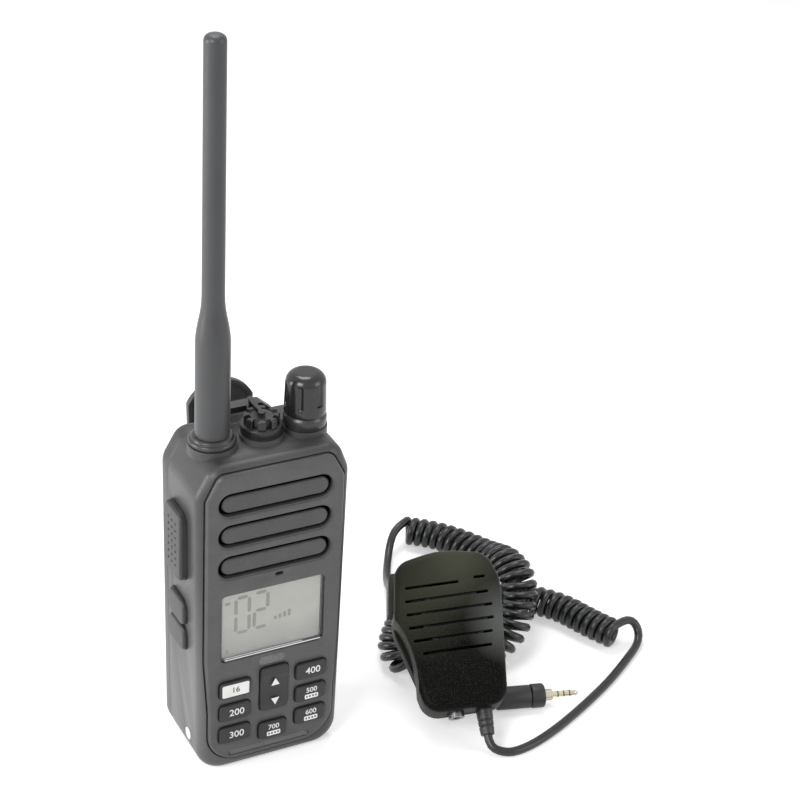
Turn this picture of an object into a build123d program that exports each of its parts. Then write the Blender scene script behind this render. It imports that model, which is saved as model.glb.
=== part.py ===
from build123d import *
import os
from math import cos, sin, tan, radians, pi

# A handheld VHF marine radio standing on its base, and its speaker microphone lying beside it
# with a curly cord and an unplugged four-pole plug.  Millimetres.  X is right, Y is back, Z is up.
# The origin is the middle of the radio's base.

# ---------------------------------------------------------------- radio: case
deck_z = 144.0            # top of the case
half_w = 32.2             # half width of the case at the shoulders
half_w_base = 30.7        # half width at the base, before its corners are rounded
shoulder_z = deck_z - 12.0  # where the sides start to lean in
deck_left = 25.4          # reach of the deck to the left and to the right
deck_right = 27.6
base_corner = 11.0
shoulder_corner = 10.0
deck_corner = 7.0
front_y = -19.0           # front face of the case
seam_y = 11.5             # joint between the front and rear housings
back_y = 22.0             # back of the battery pack
wall = 2.2                # walls of the housings
edge_round = 4.6          # rounding of the front rim
back_round = 5.2          # rounding of the back rim
slip = 0.15               # running clearance round small moving pieces

# front panel, let into the front housing
panel_half = half_w - 3.2
panel_half_low = half_w_base - 3.3
panel_low_z = 30.0        # the sides start to narrow below here
panel_waist_z = 56.0
panel_shoulder_z = deck_z - 13.0
panel_top_half = 23.6
panel_top_z = deck_z - 2.6
panel_bottom_z = 5.2
panel_corner = 13.5
panel_proud = 1.2         # how far the panel stands out of the case
panel_inset = 2.0         # how deep its seat is below the case front
panel_gap = 0.6           # dark seam round the panel
panel_ledge = 2.5         # width of the ledge behind the panel
panel_bevel = 0.8
band_x = -1.0             # textured band below the keys: its middle, height over the panel's foot
band_up = 3.6
band_half = 18.0
band_h = 2.6

# display
window_x = -0.4
window_z = 70.6
window_border = 6.6       # from the window to the panel's edge
window_w = 2 * (panel_half - window_border)
window_h = 32.0
window_corner = 2.5
window_sunk = 0.7         # the lens lies this far below the panel front
window_ledge = 0.8
lens_t = 1.2
display_t = 3.1
display_margin = 3.0

# microphone hole between the display and the grille
mic_hole_x = 1.9
mic_hole_z = window_z + window_h / 2 + 5.2
mic_hole_w = 3.5
mic_hole_h = 1.6
mic_element_r = 1.7

# loudspeaker grille: slots, each with a pill-shaped bar in it
slot_half = panel_half - 5.0
slot_h = 10.4
slot_pitch = 14.2
slot_top_z = deck_z - 16.0
slot_low_z = mic_hole_z + 7.8  # no slot stands lower than this, but for a twentieth of the pitch
slot_count = 1 + int((slot_top_z - slot_low_z) / slot_pitch + 0.05)
slot_rim = 0.6            # bevel round each slot
bar_gap = 1.5             # open gap between a bar and its slot
bar_round = 1.1
bar_sunk = 0.5            # the bars end this far below the panel front
slit_half = slot_half - 5.0  # half length of the sound slits
grille_plate = 1.4
membrane_t = 0.4
speaker_r = min(panel_half - 11.0, (slot_pitch * (slot_count - 1) + slot_h) / 2 - 1.4)
speaker_depth = 8.5

# keys
key_border = 4.15         # from the left keys to the panel's edge
key_in = 9.75             # from the middle to the left keys, and how much further the right ones are
key_in_more = 0.3
key_w = min(panel_half, panel_half_low) - key_border - key_in
key_h = 8.0
key_corner = 2.0
key_proud = 1.3           # out of the panel
key_flange = 0.9
key_play = 0.1            # between a key's flange and the panel
key_travel = 0.6
key_rest = 0.3            # left between a pressed key and the mat
key_gap = 0.35            # between a key and its opening
left_key_x = -key_in - key_w / 2
right_key_x = key_in + key_in_more + key_w / 2
key_row_z = [41.3, 30.0, 18.9]
low_key_w = 12.2
low_key_h = 8.5
low_key_z = 16.2
low_key_x = 0.2
rocker_x = 0.6
rocker_z = 37.1
rocker_w = 12.2
rocker_h = 21.4
rocker_tab = 4.0          # height of the tabs that the rocker swings on
board_t = 1.6
chips = [((-14.0, 12.0), (32.0, 54.0), 3.0), ((-16.0, 16.0), (60.0, 84.0), 2.2)]  # x, z, height

# deck: antenna, accessory jack and volume knob
row_y = -1.0              # the three stand in one row
antenna_x = -19.0
antenna_boss_r = 9.5
antenna_ring_r = 9.4
antenna_bead_h = 2.2      # height of the ring's lower bead
antenna_bead_step = 1.1
antenna_ring_h = 3.6
antenna_tip_z = deck_z + 166.4
antenna_base_r = 6.8
antenna_base_top = deck_z + 44.0
antenna_neck_top = deck_z + 65.0
antenna_rod_r = 4.4
antenna_tip_r = 4.2
antenna_boss_depth = 24.0  # how far its boss reaches into the case
boss_h = 2.2              # height of the bosses over the deck
boss_rim = 0.3            # the bosses are this much larger than what stands on them
stud_r = 3.1              # threaded stud that carries the antenna
stud_room = 0.55          # clearance of the stud in its boss
stud_h = 9.0              # the stud's reach into the antenna
jack_x = 1.5
jack_cap_r = 8.4
jack_cap_h = 6.8
cap_base_h = 3.2          # plain lower part of the cap
crown_r = 7.1             # its crown, cut by notches round a hub
crown_round = 0.8
crown_hub_r = 4.8
crown_hub_sunk = 0.5
notch_w = 2.4
jack_neck_r = 4.2         # the threaded neck that the cap screws onto
jack_neck_h = 3.6
jack_nut_r = 5.6
jack_depth = 15.0
jack_hole_r = 1.35
jack_hole_depth = 13.5
cap_fit = 0.06            # running clearance of the cap on its neck
cap_notches = 8
strap_w = 3.2             # the strap that keeps the cap, and its arm over the cap
strap_arm_w = 1.5
strap_arm_t = 0.9
strap_post_r = 1.3
strap_foot_r = 2.3
knob_x = 19.8
knob_ring_r = 8.6
knob_ring_h = 5.4
knob_r = 8.4
knob_top_r = 7.9
knob_top_z = deck_z + 24.9
knob_round = 4.4
knob_flutes = 6
flute_r = 1.75
flute_out = 0.95          # from the knob's surface to a flute's axis
flute_low = 2.5           # from the foot of the knob to the flutes
flute_h = 12.0
flute_turn = 50.6         # degrees
knob_stem_r = 3.0
stem_fit = 0.06           # running clearance of the knob's stem in the encoder
stem_room = 1.2           # clearance of the stem in the deck
stem_depth = 10.0
encoder_r = 4.6
encoder_z = (14.0, 4.6)   # depths of the encoder below the deck

# side keys on the left wall
ptt_y = (-7.5, 9.6)
ptt_z = (deck_z - 56.0, deck_z - 25.0)
ptt_proud = 2.9
side_key_y = (-7.0, 9.2)
side_key_z = (deck_z - 90.0, deck_z - 66.0)
side_key_proud = 1.9
side_gap = 0.35
side_travel = 0.7
key_foot = 0.6            # thickness of a side key's flange
side_flange = 0.6
side_split = 0.9          # gap between the two side keys
contact_y = -6.6
contact_z = 13.2
contact_r = 2.6
switch_strip_y = (-3.0, 5.0)
switch_strip_t = 0.8
switch_y = 1.0
switch_r = 1.6

# inside the case
tray_room = (5.8, 4.3)    # from the tray to the case's half width at the shoulders and at the base
tray_half = min(half_w - tray_room[0], half_w_base - tray_room[1])
tray_z = (9.0, deck_z - 8.0)
tray_wall = 1.6
tray_back = 2.0
gasket_t = 1.4

# back: battery pack, ridge for a lanyard, belt clip
rear_plate = 1.7
pack_top_z = deck_z - 38.0
pack_gap = 0.3
pack_wall = 1.6
cell_reach = min(half_w, half_w_base) - 4.35  # from the middle out to a cell's far side
cell_gap = 0.85           # from the middle to a cell's near side
cell_foot_z = 28.0
cell_top_z = pack_top_z - 8.0
contact_half = 9.0        # the block of battery contacts
contact_rows = (20.0, 26.0)
ridge_half_top = 8.7
ridge_half_foot = 14.4
ridge_z = deck_z + 4.7
ridge_t = 5.0
lanyard_half = 6.0
lanyard_h = 3.4
latch_half = 9.0
latch_h = 7.0
latch_z = 9.0
latch_travel = 3.0
latch_proud = 1.0
clip_w = 24.0
clip_base_t = 3.0
clip_base_z = (deck_z - 35.0, deck_z - 5.0)
clip_pin_r = 1.5
clip_pin_z = deck_z - 18.0
clip_pin_off = 7.5        # from the back of the case
clip_fit = 0.05
clip_arm_t = 2.6
clip_arch_h = 9.0         # height of the arched thumb end
clip_thumb = (16.0, 7.0)  # the thumb's hollow at the back
clip_bowl = 0.9           # depth of the hollow in the front of the arch, and its rim
clip_bowl_h = 11.0
clip_rim = 2.0
clip_arm_off = 14.0       # inner face of the arm from the back of the case
clip_top_z = deck_z + 5.9
clip_low_z = deck_z - 76.0
clip_ear_t = 2.4
clip_ear_r = 3.6
spring_wire = 0.5
screw_x = 22.0
screw_z = deck_z - 20.0
screw_r = 2.4

# ---------------------------------------------------------------- speaker microphone
# Its own frame: x across, y up the face, z out of the face; it leans back over its cord.
mic_at = (83.5, -31.5, 2.2)  # middle of the back's lower edge; the clip rests on the coil
mic_yaw = -22.3
mic_lean = 38.0           # angle of its back from the floor
mic_roll = 8.0
mic_foot_half = 17.2
mic_rear_foot_half = 14.5  # the rear cover tapers more, and ends this far above the foot
mic_rear_foot_y = 3.5
mic_right_half = 23.9     # widest place on the right
mic_right_y = 53.0
mic_left_half = 24.3      # widest place on the left, above the finger hollow
mic_left_y = 40.0
mic_top_half = 20.0
mic_top_y = 65.8
mic_crown_y = 69.9
mic_t = 24.0              # front to back
mic_split = 10.5          # height of the joint between its covers
mic_wall = 2.0
mic_corner_foot = 8.0
mic_corner_rear_foot = 11.0
mic_corner_wide = 20.0
mic_corner_top = 9.0
mic_crown_r = 40.0
mic_front_round = 3.0
mic_back_round = 3.2
mic_step = 0.5            # the rear cover is this much smaller all round
grip_y = (3.0, 33.0)      # finger hollow on the left edge of the front cover
grip_in = 2.1
mic_slot_h = 1.3
mic_slot_pitch = 5.8
mic_slot_top_y = 54.1
mic_slots = [(-17.5, 5.7), (-18.4, 17.5), (-18.8, 18.3), (-18.8, 17.8), (-17.7, 16.2), (-14.8, 14.9)]
mic_port = (12.2, 17.3)
mic_port_rise = 0.9       # the port stands this much above the top slot
mic_ptt_y = (47.0, 64.0)
mic_ptt_z = (4.5, 15.5)
mic_ptt_proud = 1.9       # the bar follows the edge of the case and stands out this far
mic_ptt_in = 3.2          # how far the bar reaches into the case
mic_switch = (3.7, 6.0, 5.0)  # size of the switch under it, across, along and deep
mic_switch_z = 8.0
mic_switch_foot = (2.6, 10.0)  # reach inwards and width of the block that carries the switch
mic_ptt_travel = 0.8
mic_ptt_gap = 0.35
mic_speaker_r = 14.0
mic_speaker_y = 40.0
mic_board_y = (10.0, 44.0)
mic_board_half = 9.0
mic_board_t = 1.6
mic_chip = ((-6.0, 8.0), (18.0, 32.0), 2.3)  # x, y, height
mic_jack_x = -4.4
mic_jack_z = 15.4
mic_jack_r = 3.4
mic_jack_len = 10.0
mic_jack_out = 2.0        # how far the jack stands out of the lower edge
mic_screw_y = (14.0, 60.0)
mic_screw_x = (9.0, 14.0)
mic_screw_r = 1.9
boot_x = 7.9
boot_turn = -2.0          # the boot leans this far to the right
boot_z = 13.5
boot_r = (3.6, 2.9)
boot_len = 10.5
boot_root = 2.0           # how far the boot reaches into the case
boot_grooves = (4.2, 6.6)  # places of its grooves
boot_groove = (0.6, 0.5)  # their width and depth
boot_lead_len = 4.6       # the cord leaves the boot straight over this length
mic_clip_w = 13.0
mic_clip_base_t = 1.6
mic_clip_y = (32.0, 61.0)
mic_clip_pin_y = 41.0
mic_clip_pin_r = 1.2
mic_clip_pin_z = -6.4
mic_clip_ear_r = 2.8
mic_clip_t = 1.6
mic_clip_ear_t = 1.6
mic_clip_depth = 11.6

# cord and plug; their points are (across, away, up) from a place on the floor below the microphone
cord_at = (81.8, -35.0)
cord_yaw = -12.0
cord_r = 1.9
coil_r = 7.0
plug_yaw = -3.4
plug_boot_len = 12.3
plug_boot_r = (2.3, 3.3)
plug_r = 4.95
plug_body_len = 14.5
collar_len = 6.0
collar_r = 5.2
collar_fit = 0.08
neck_r = 2.4
neck_len = 3.6
pin_r = 1.25
pin_len = 11.5
plug_at = (6.2, 12.6)
plug_lead_len = 8.0       # the cord enters the plug straight over this length


# ---------------------------------------------------------------- helpers
def slab(sketch, y_near, y_far):
    """A sketch drawn in X and Z, as a plate from y_near (front) to y_far (back)."""
    return extrude(Plane.XZ.offset(-y_far) * sketch, amount=y_far - y_near)


def outline(points, radii):
    """A closed outline through points, each corner rounded by its own radius."""
    face = Polygon(*points, align=None)
    for point, radius in zip(points, radii):
        corner = face.vertices().sort_by_distance((point[0], point[1], 0))[0]
        face = fillet(corner, radius)
    return face


def box(x, y, z):
    """A box between two values on each axis."""
    size = [b - a for a, b in (x, y, z)]
    middle = [(a + b) / 2 for a, b in (x, y, z)]
    return Pos(*middle) * Box(*size)


def post(x, y, z, r):
    """An upright cylinder between two heights."""
    return Pos(x, y, (z[0] + z[1]) / 2) * Cylinder(r, z[1] - z[0])


def rod_y(x, z, y, r):
    """A cylinder along Y between two depths."""
    return Pos(x, (y[0] + y[1]) / 2, z) * Rot(90, 0, 0) * Cylinder(r, y[1] - y[0])


def rod_x(y, z, x, r):
    """A cylinder along X between two places."""
    return Pos((x[0] + x[1]) / 2, y, z) * Rot(0, 90, 0) * Cylinder(r, x[1] - x[0])


def pill(x, z, half, h):
    """A stadium lying along X, as a sketch in X and Z."""
    return Pos(x, z) * SlotOverall(2 * half, h)


def card(x, z, w, h, corner):
    """A rounded rectangle, as a sketch in X and Z."""
    return Pos(x, z) * RectangleRounded(w, h, corner)


def grown(sketch, amount):
    """A sketch with its outline moved outwards, or inwards where the amount is below zero."""
    return offset(sketch, amount, kind=Kind.ARC if amount > 0 else Kind.INTERSECTION)


parts = {}
os.makedirs("parts", exist_ok=True)


def keep(name, shape):
    """Name a piece and put it on the list of pieces to write."""
    shape.label = name
    parts[name] = shape


# ---------------------------------------------------------------- case outlines
def case_outline():
    points = [(-half_w_base, 0), (half_w_base, 0), (half_w, shoulder_z), (deck_right, deck_z),
              (-deck_left, deck_z), (-half_w, shoulder_z)]
    radii = [base_corner, base_corner, shoulder_corner, deck_corner, deck_corner, shoulder_corner]
    return outline(points, radii)


def panel_outline():
    points = [(-panel_half_low, panel_bottom_z), (panel_half_low, panel_bottom_z),
              (panel_half_low, panel_low_z), (panel_half, panel_waist_z),
              (panel_half, panel_shoulder_z), (panel_top_half, panel_top_z),
              (-panel_top_half, panel_top_z), (-panel_half, panel_shoulder_z),
              (-panel_half, panel_waist_z), (-panel_half_low, panel_low_z)]
    radii = [panel_corner, panel_corner, 20, 20, 4, 4, 4, 4, 20, 20]
    return outline(points, radii)


seat_y = front_y + panel_inset             # back of the front panel
panel_front = front_y - panel_proud
inside_y = seat_y + wall - 0.2             # back of the front housing's front wall
boss_z = deck_z + boss_h
tether_z = (boss_z + 0.1, boss_z + 0.75)
case = case_outline()
case_inside = grown(case, -wall)
panel = panel_outline()
window_opening = grown(panel, -panel_ledge)
slot_z = [slot_top_z - slot_pitch * i for i in range(slot_count)]
deck_axes = {"antenna": (antenna_x, antenna_boss_r), "jack": (jack_x, jack_cap_r),
             "knob": (knob_x, knob_ring_r)}


def side_slot(y, z, grow, x_from, x_to):
    """The shape of a key on the left wall, rounded, between two places across the wall."""
    sketch = Pos((y[0] + y[1]) / 2, (z[0] + z[1]) / 2) * RectangleRounded(
        y[1] - y[0] + 2 * grow, z[1] - z[0] + 2 * grow, 4.0 + grow)
    return extrude(Plane.YZ.offset(x_from) * sketch, amount=x_to - x_from)


def half_range(span, index, count, gap):
    """One of several equal shares of a span, with a gap between them."""
    share = (span[1] - span[0] - gap * (count - 1)) / count
    start = span[0] + index * (share + gap)
    return (start, start + share)


# ---------------------------------------------------------------- front housing
def front_housing():
    body = slab(case, front_y, seam_y)
    front_edges = body.edges().filter_by_position(Axis.Y, front_y - 0.01, front_y + 0.01)
    body = fillet(front_edges, edge_round)
    antenna_boss = post(antenna_x, row_y, (deck_z - antenna_boss_depth, deck_z), antenna_boss_r)
    body -= slab(case_inside, inside_y, seam_y) - antenna_boss
    for x, r in deck_axes.values():
        body += post(x, row_y, (deck_z - wall, boss_z), r + boss_rim)
    body -= slab(grown(panel, panel_gap), front_y - 5, seat_y)
    body -= slab(window_opening, seat_y - 1, inside_y + 1)
    for x, r in ((antenna_x, stud_r + stud_room), (jack_x, jack_neck_r + slip),
                 (knob_x, knob_stem_r + stem_room)):
        body -= post(x, row_y, (deck_z - antenna_boss_depth - 1, boss_z + 1), r)
    wall_x = (-half_w - 6, wall + 2 - narrowest(side_key_z))
    body -= side_slot(ptt_y, ptt_z, side_gap, *wall_x)
    for index in range(2):
        span = half_range(side_key_z, index, 2, side_split)
        body -= side_slot(side_key_y, span, side_gap, *wall_x)
    contact_wall = -side_at(contact_z)
    body -= rod_x(contact_y, contact_z, (contact_wall - 2, contact_wall + 5), contact_r + 0.05)
    return body


def front_panel():
    plate = slab(panel, panel_front, seat_y)
    rim = plate.edges().filter_by_position(Axis.Y, panel_front - 0.01, panel_front + 0.01)
    plate = chamfer(rim, panel_bevel)
    for z in slot_z:
        cut = slab(pill(0, z, slot_half, slot_h), panel_front - 1, seat_y + 1)
        wide = slab(pill(0, z, slot_half + slot_rim, slot_h + 2 * slot_rim), panel_front - 1,
                    panel_front + 0.4)
        plate -= cut
        plate -= wide
    lens_y = panel_front + window_sunk
    plate -= slab(card(window_x, window_z, window_w, window_h, window_corner), panel_front - 1,
                  lens_y + lens_t)
    plate -= slab(card(window_x, window_z, window_w - 2 * window_ledge, window_h - 2 * window_ledge,
                       window_corner - 1), lens_y, seat_y + 1)
    plate -= slab(pill(mic_hole_x, mic_hole_z, mic_hole_w / 2, mic_hole_h), panel_front - 1,
                  seat_y + 1)
    for x, z, w, h in key_places().values():
        plate -= slab(card(x, z, w + 2 * key_gap, h + 2 * key_gap, key_corner + key_gap),
                      panel_front - 1, seat_y + 1)
    plate -= slab(card(rocker_x, rocker_z, rocker_w + 2 * key_gap, rocker_h + 2 * key_gap,
                       key_corner + key_gap), panel_front - 1, seat_y + 1)
    plate -= slab(grip_band(), panel_front - 1, panel_front + 0.5)
    return plate


def grip_band():
    """The shallow groove of a textured band below the keys."""
    return pill(band_x, panel_bottom_z + band_up, band_half, band_h)


def key_places():
    """Each push key of the front panel: x, z, width and height."""
    places = {}
    for row, z in enumerate(key_row_z, 1):
        places[f"key_left_{row}"] = (left_key_x, z, key_w, key_h)
        places[f"key_right_{row}"] = (right_key_x, z, key_w, key_h)
    places["key_low"] = (low_key_x, low_key_z, low_key_w, low_key_h)
    return places


def front_key(x, z, w, h):
    front = panel_front - key_proud
    back = seat_y + key_play + key_flange
    cap = slab(card(x, z, w, h, key_corner), front, back)
    rim = cap.edges().filter_by_position(Axis.Y, front - 0.01, front + 0.01)
    cap = fillet(rim, 0.7)
    return cap + slab(card(x, z, w + 2 * key_flange, h + 2 * key_flange, key_corner),
                      seat_y + key_play, back)


def channel_rocker():
    front = panel_front - key_proud
    back = seat_y + 0.8
    cap = slab(card(rocker_x, rocker_z, rocker_w, rocker_h, key_corner), front, back)
    rim = cap.edges().filter_by_position(Axis.Y, front - 0.01, front + 0.01)
    cap = fillet(rim, 0.7)
    waist_r = 30.0
    cap -= Pos(rocker_x, front - waist_r + 0.7, rocker_z) * Rot(0, 90, 0) * Cylinder(
        waist_r, rocker_w + 2)
    tabs = slab(card(rocker_x, rocker_z, rocker_w + 3.0, rocker_tab, 0.6), seat_y + 0.25, back)
    return cap + tabs


def grille_insert():
    inside = grown(panel, -panel_ledge - 0.3)
    low_z = slot_z[-1] - slot_h / 2 - 0.5
    plate_sketch = inside & (Pos(0, (low_z + panel_top_z) / 2) * Rectangle(
        4 * half_w, panel_top_z - low_z))
    plate_sketch = plate_sketch & (Pos(0, (low_z + slot_z[0] + slot_h) / 2) * Rectangle(
        4 * half_w, slot_z[0] + slot_h - low_z))
    plate = slab(plate_sketch, seat_y, seat_y + grille_plate)
    bar_h = slot_h - 2 * bar_gap
    for z in slot_z:
        bar = slab(pill(0, z, slot_half - bar_gap, bar_h), panel_front + bar_sunk, seat_y + 0.5)
        rim = bar.edges().filter_by_position(Axis.Y, panel_front + bar_sunk - 0.01,
                                             panel_front + bar_sunk + 0.01)
        plate += fillet(rim, bar_round)
        for side in (-1, 1):
            slit_z = z + side * (bar_h + bar_gap) / 2
            plate -= slab(pill(0, slit_z, slit_half, bar_gap * 0.9), seat_y - 0.01,
                          seat_y + grille_plate + 1)
    return plate


def speaker_middle():
    return (slot_z[0] + slot_z[-1]) / 2


def speaker_membrane():
    y = seat_y + grille_plate
    return slab(Pos(0, speaker_middle()) * Circle(speaker_r + 1.0), y, y + membrane_t)


def loudspeaker(r, depth):
    """A loudspeaker, its rim at z = 0 and its magnet at z = -depth."""
    profile = [(0, -depth), (r * 0.55, -depth), (r * 0.55, -depth * 0.45), (r * 0.8, -depth * 0.4),
               (r, -depth * 0.2), (r, 0), (r * 0.88, 0), (r * 0.82, -0.8), (r * 0.35, -depth * 0.35),
               (0, -depth * 0.25)]
    face = Plane.XZ * Polygon(*profile, align=None)
    return revolve(face, Axis.Z)


def speaker():
    y = seat_y + grille_plate + membrane_t
    return Pos(0, y, speaker_middle()) * Rot(90, 0, 0) * loudspeaker(speaker_r, speaker_depth)


def microphone_element():
    """The microphone capsule, which stands on the board behind its hole."""
    return rod_y(mic_hole_x, mic_hole_z - 0.4, (seat_y + 0.05, board_front()), mic_element_r)


def board_front():
    return seat_y + display_t


def window_lens():
    y = panel_front + window_sunk
    lens = slab(card(window_x, window_z, window_w - 0.2, window_h - 0.2, window_corner - 0.1), y,
                y + lens_t)
    return lens


def display_module():
    w = window_w + 2 * display_margin - 2 * window_ledge
    h = window_h + display_margin
    block = slab(card(window_x, window_z, w, h, 1.0), seat_y + 0.05, board_front())
    glass_w = window_w - 2 * window_ledge - 1
    glass_h = window_h - 2 * window_ledge - 1
    lift = slab(card(window_x, window_z, glass_w, glass_h, 0.8), seat_y - 0.9, seat_y + 0.05)
    return block + lift


def key_mat():
    """The rubber mat behind the keys, on the board."""
    low = panel_bottom_z + panel_ledge + 1.5
    high = window_z - window_h / 2 - display_margin / 2 - 0.6
    sketch = grown(panel, -panel_ledge - 0.3) & (Pos(0, (low + high) / 2) * Rectangle(
        4 * half_w, high - low))
    front = seat_y + key_play + key_flange + key_travel + key_rest
    return slab(sketch, front, board_front())


def main_board():
    top = mic_hole_z + 2.4
    low = tray_z[0] + 0.5
    sketch = card(0, (top + low) / 2, 2 * tray_half - 0.6, top - low, 1.5)
    y = board_front()
    board = slab(sketch, y, y + board_t)
    for chip_x, chip_z, chip_h in chips:
        board += box(chip_x, (y + board_t, y + board_t + chip_h), chip_z)
    return board + microphone_element()


def chassis():
    """The cast tray behind the board, with ribs that carry it."""
    y0 = board_front() + board_t
    y1 = seam_y - 0.4
    middle = (tray_z[0] + tray_z[1]) / 2
    height = tray_z[1] - tray_z[0]
    tray = slab(card(0, middle, 2 * tray_half, height, 8.0), y0, y1)
    tray -= slab(card(0, middle, 2 * tray_half - 2 * tray_wall, height - 2 * tray_wall, 6.5),
                 y0 - 1, y1 - tray_back)
    rib_z = [tray_z[0] + 18, mic_hole_z + 3.0]
    for z in rib_z:
        tray += box((-tray_half + 0.5, tray_half - 0.5), (y0, y1 - tray_back / 2), (z - 0.8, z + 0.8))
    deck_cut = box((-half_w, half_w), (y0 - 1, y1 - tray_back), (tray_z[1] - 14, tray_z[1] + 1))
    boss_room = post(antenna_x, row_y, (deck_z - 27, deck_z), antenna_boss_r + 0.4)
    return tray - deck_cut - boss_room


# ---------------------------------------------------------------- keys and switches on the side
def side_at(z):
    """Half width of the case at a height below the shoulders."""
    return half_w_base + (half_w - half_w_base) * z / shoulder_z


def narrowest(z):
    """The least half width of the case between two heights."""
    return min(side_at(z[0]), side_at(z[1]))


def wall_key(y, z, proud):
    """A key on the left wall, held by flanges along its front and back edges."""
    outer = -max(side_at(z[0]), side_at(z[1])) - proud
    inner = -narrowest(z) + wall + slip
    key = side_slot(y, z, 0, outer, inner + key_foot)
    rim = key.edges().filter_by_position(Axis.X, outer - 0.01, outer + 0.01)
    key = fillet(rim, min(1.2, proud * 0.6))
    flange = box((inner, inner + key_foot), (y[0] - side_flange, y[1] + side_flange),
                 (z[0] + 4.5, z[1] - 4.5))
    return key + flange


def side_switches():
    """A strip on the side of the tray, with a switch under each side key."""
    x = -tray_half - 0.1
    strip = box((x - switch_strip_t, x), switch_strip_y, (side_key_z[0] + 2, ptt_z[1] - 4))
    spans = [ptt_z] + [half_range(side_key_z, index, 2, side_split) for index in range(2)]
    for low, high in spans:
        stop = -narrowest((low, high)) + wall + key_foot + side_travel + 2 * slip
        strip += rod_x(switch_y, (low + high) / 2, (stop, x - 0.5), switch_r)
    return strip


def charge_contact():
    outer = -side_at(contact_z) - 0.2
    return rod_x(contact_y, contact_z, (outer, outer + wall + 1.5), contact_r)


# ---------------------------------------------------------------- deck
def antenna_ring():
    upper_r = antenna_ring_r - antenna_bead_step
    profile = Plane.XZ * Polygon(
        (stud_r + 0.5, 0), (antenna_ring_r - 0.4, 0), (antenna_ring_r, 0.5),
        (antenna_ring_r, antenna_bead_h - 0.6), (antenna_ring_r - 0.5, antenna_bead_h),
        (upper_r, antenna_bead_h), (upper_r, antenna_ring_h - 0.6),
        (upper_r - 0.7, antenna_ring_h), (stud_r + 0.5, antenna_ring_h), align=None)
    return Pos(antenna_x, row_y, boss_z) * revolve(profile, Axis.Z)


def antenna_connector():
    """The stud in the case that the antenna screws onto."""
    flange_z = deck_z - antenna_boss_depth
    stud = post(antenna_x, row_y, (flange_z - 1, boss_z + antenna_ring_h + stud_h), stud_r)
    return stud + post(antenna_x, row_y, (flange_z - 1.6, flange_z - 0.1), stud_r + 2)


def antenna():
    low = boss_z + antenna_ring_h
    hollow = stud_r + 0.03
    with BuildLine(Plane.XZ) as line:
        Polyline((hollow, low), (antenna_base_r, low), (antenna_base_r, antenna_base_top))
        Bezier((antenna_base_r, antenna_base_top), (antenna_base_r, antenna_base_top + 9),
               (antenna_rod_r, antenna_neck_top - 9), (antenna_rod_r, antenna_neck_top))
        Line((antenna_rod_r, antenna_neck_top), (antenna_tip_r, antenna_tip_z - 3))
        Bezier((antenna_tip_r, antenna_tip_z - 3), (antenna_tip_r, antenna_tip_z - 0.6),
               (antenna_tip_r - 1.8, antenna_tip_z), (0, antenna_tip_z))
        Polyline((0, antenna_tip_z), (0, low + stud_h + 0.5), (hollow, low + stud_h + 0.5),
                 (hollow, low))
    profile = make_face(line.line)
    return Pos(antenna_x, row_y, 0) * revolve(profile, Axis.Z)


def jack_socket():
    """The threaded socket under the screw cap, with the hole for the plug."""
    top = boss_z + jack_neck_h
    socket = post(jack_x, row_y, (deck_z - jack_depth, top), jack_neck_r)
    socket += post(jack_x, row_y, (deck_z - jack_depth, deck_z - wall - 0.3), jack_nut_r)
    return socket - post(jack_x, row_y, (top - jack_hole_depth, top + 1), jack_hole_r)


def cap_heights():
    low = tether_z[1] + slip
    return low, low + jack_cap_h


def jack_cap():
    """The screw cap: a plain base and a crown of notches round a hub."""
    low, high = cap_heights()
    floor_z = low + cap_base_h
    crown = post(jack_x, row_y, (low, high), crown_r)
    crown = fillet(crown.edges().group_by(Axis.Z)[-1], crown_round)
    for index in range(cap_notches):
        notch = Pos(crown_r, 0, floor_z + jack_cap_h / 2) * Box(
            2 * (crown_r - crown_hub_r), notch_w, jack_cap_h)
        crown -= Pos(jack_x, row_y) * Rot(0, 0, 360 / cap_notches * index) * notch
    crown -= post(jack_x, row_y, (high - crown_hub_sunk, high + 1), crown_hub_r)
    base = post(jack_x, row_y, (low, floor_z), jack_cap_r)
    base = chamfer(base.edges().group_by(Axis.Z)[-1], 0.4)
    cap = crown + base
    return cap - post(jack_x, row_y, (low - 1, boss_z + jack_neck_h + 0.3), jack_neck_r + cap_fit)


def cap_tether():
    """The strap that keeps the cap: a ring under it, and an arm over it to its middle."""
    high = cap_heights()[1]
    post_y = seam_y - strap_foot_r / 2
    strap = post(jack_x, row_y, tether_z, jack_cap_r - 0.4)
    strap += box((jack_x - strap_w / 2, jack_x + strap_w / 2), (row_y, seam_y + 1.2), tether_z)
    strap -= post(jack_x, row_y, (deck_z, boss_z + 5), jack_neck_r + slip)
    strap += post(jack_x, post_y, (deck_z + 0.05, tether_z[1]), strap_foot_r)
    arm_z = (high + slip, high + slip + strap_arm_t)
    strap += post(jack_x, post_y, (deck_z + 0.05, arm_z[1]), strap_post_r)
    strap += box((jack_x - strap_arm_w / 2, jack_x + strap_arm_w / 2), (row_y, post_y), arm_z)
    return strap + post(jack_x, row_y, arm_z, strap_arm_w)


def knob_ring():
    profile = Plane.XZ * Polygon(
        (knob_stem_r + 1.0, 0), (knob_ring_r, 0), (knob_ring_r, knob_ring_h - 1.4),
        (knob_ring_r - 0.9, knob_ring_h), (knob_stem_r + 1.0, knob_ring_h), align=None)
    return Pos(knob_x, row_y, boss_z) * revolve(profile, Axis.Z)


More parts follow.
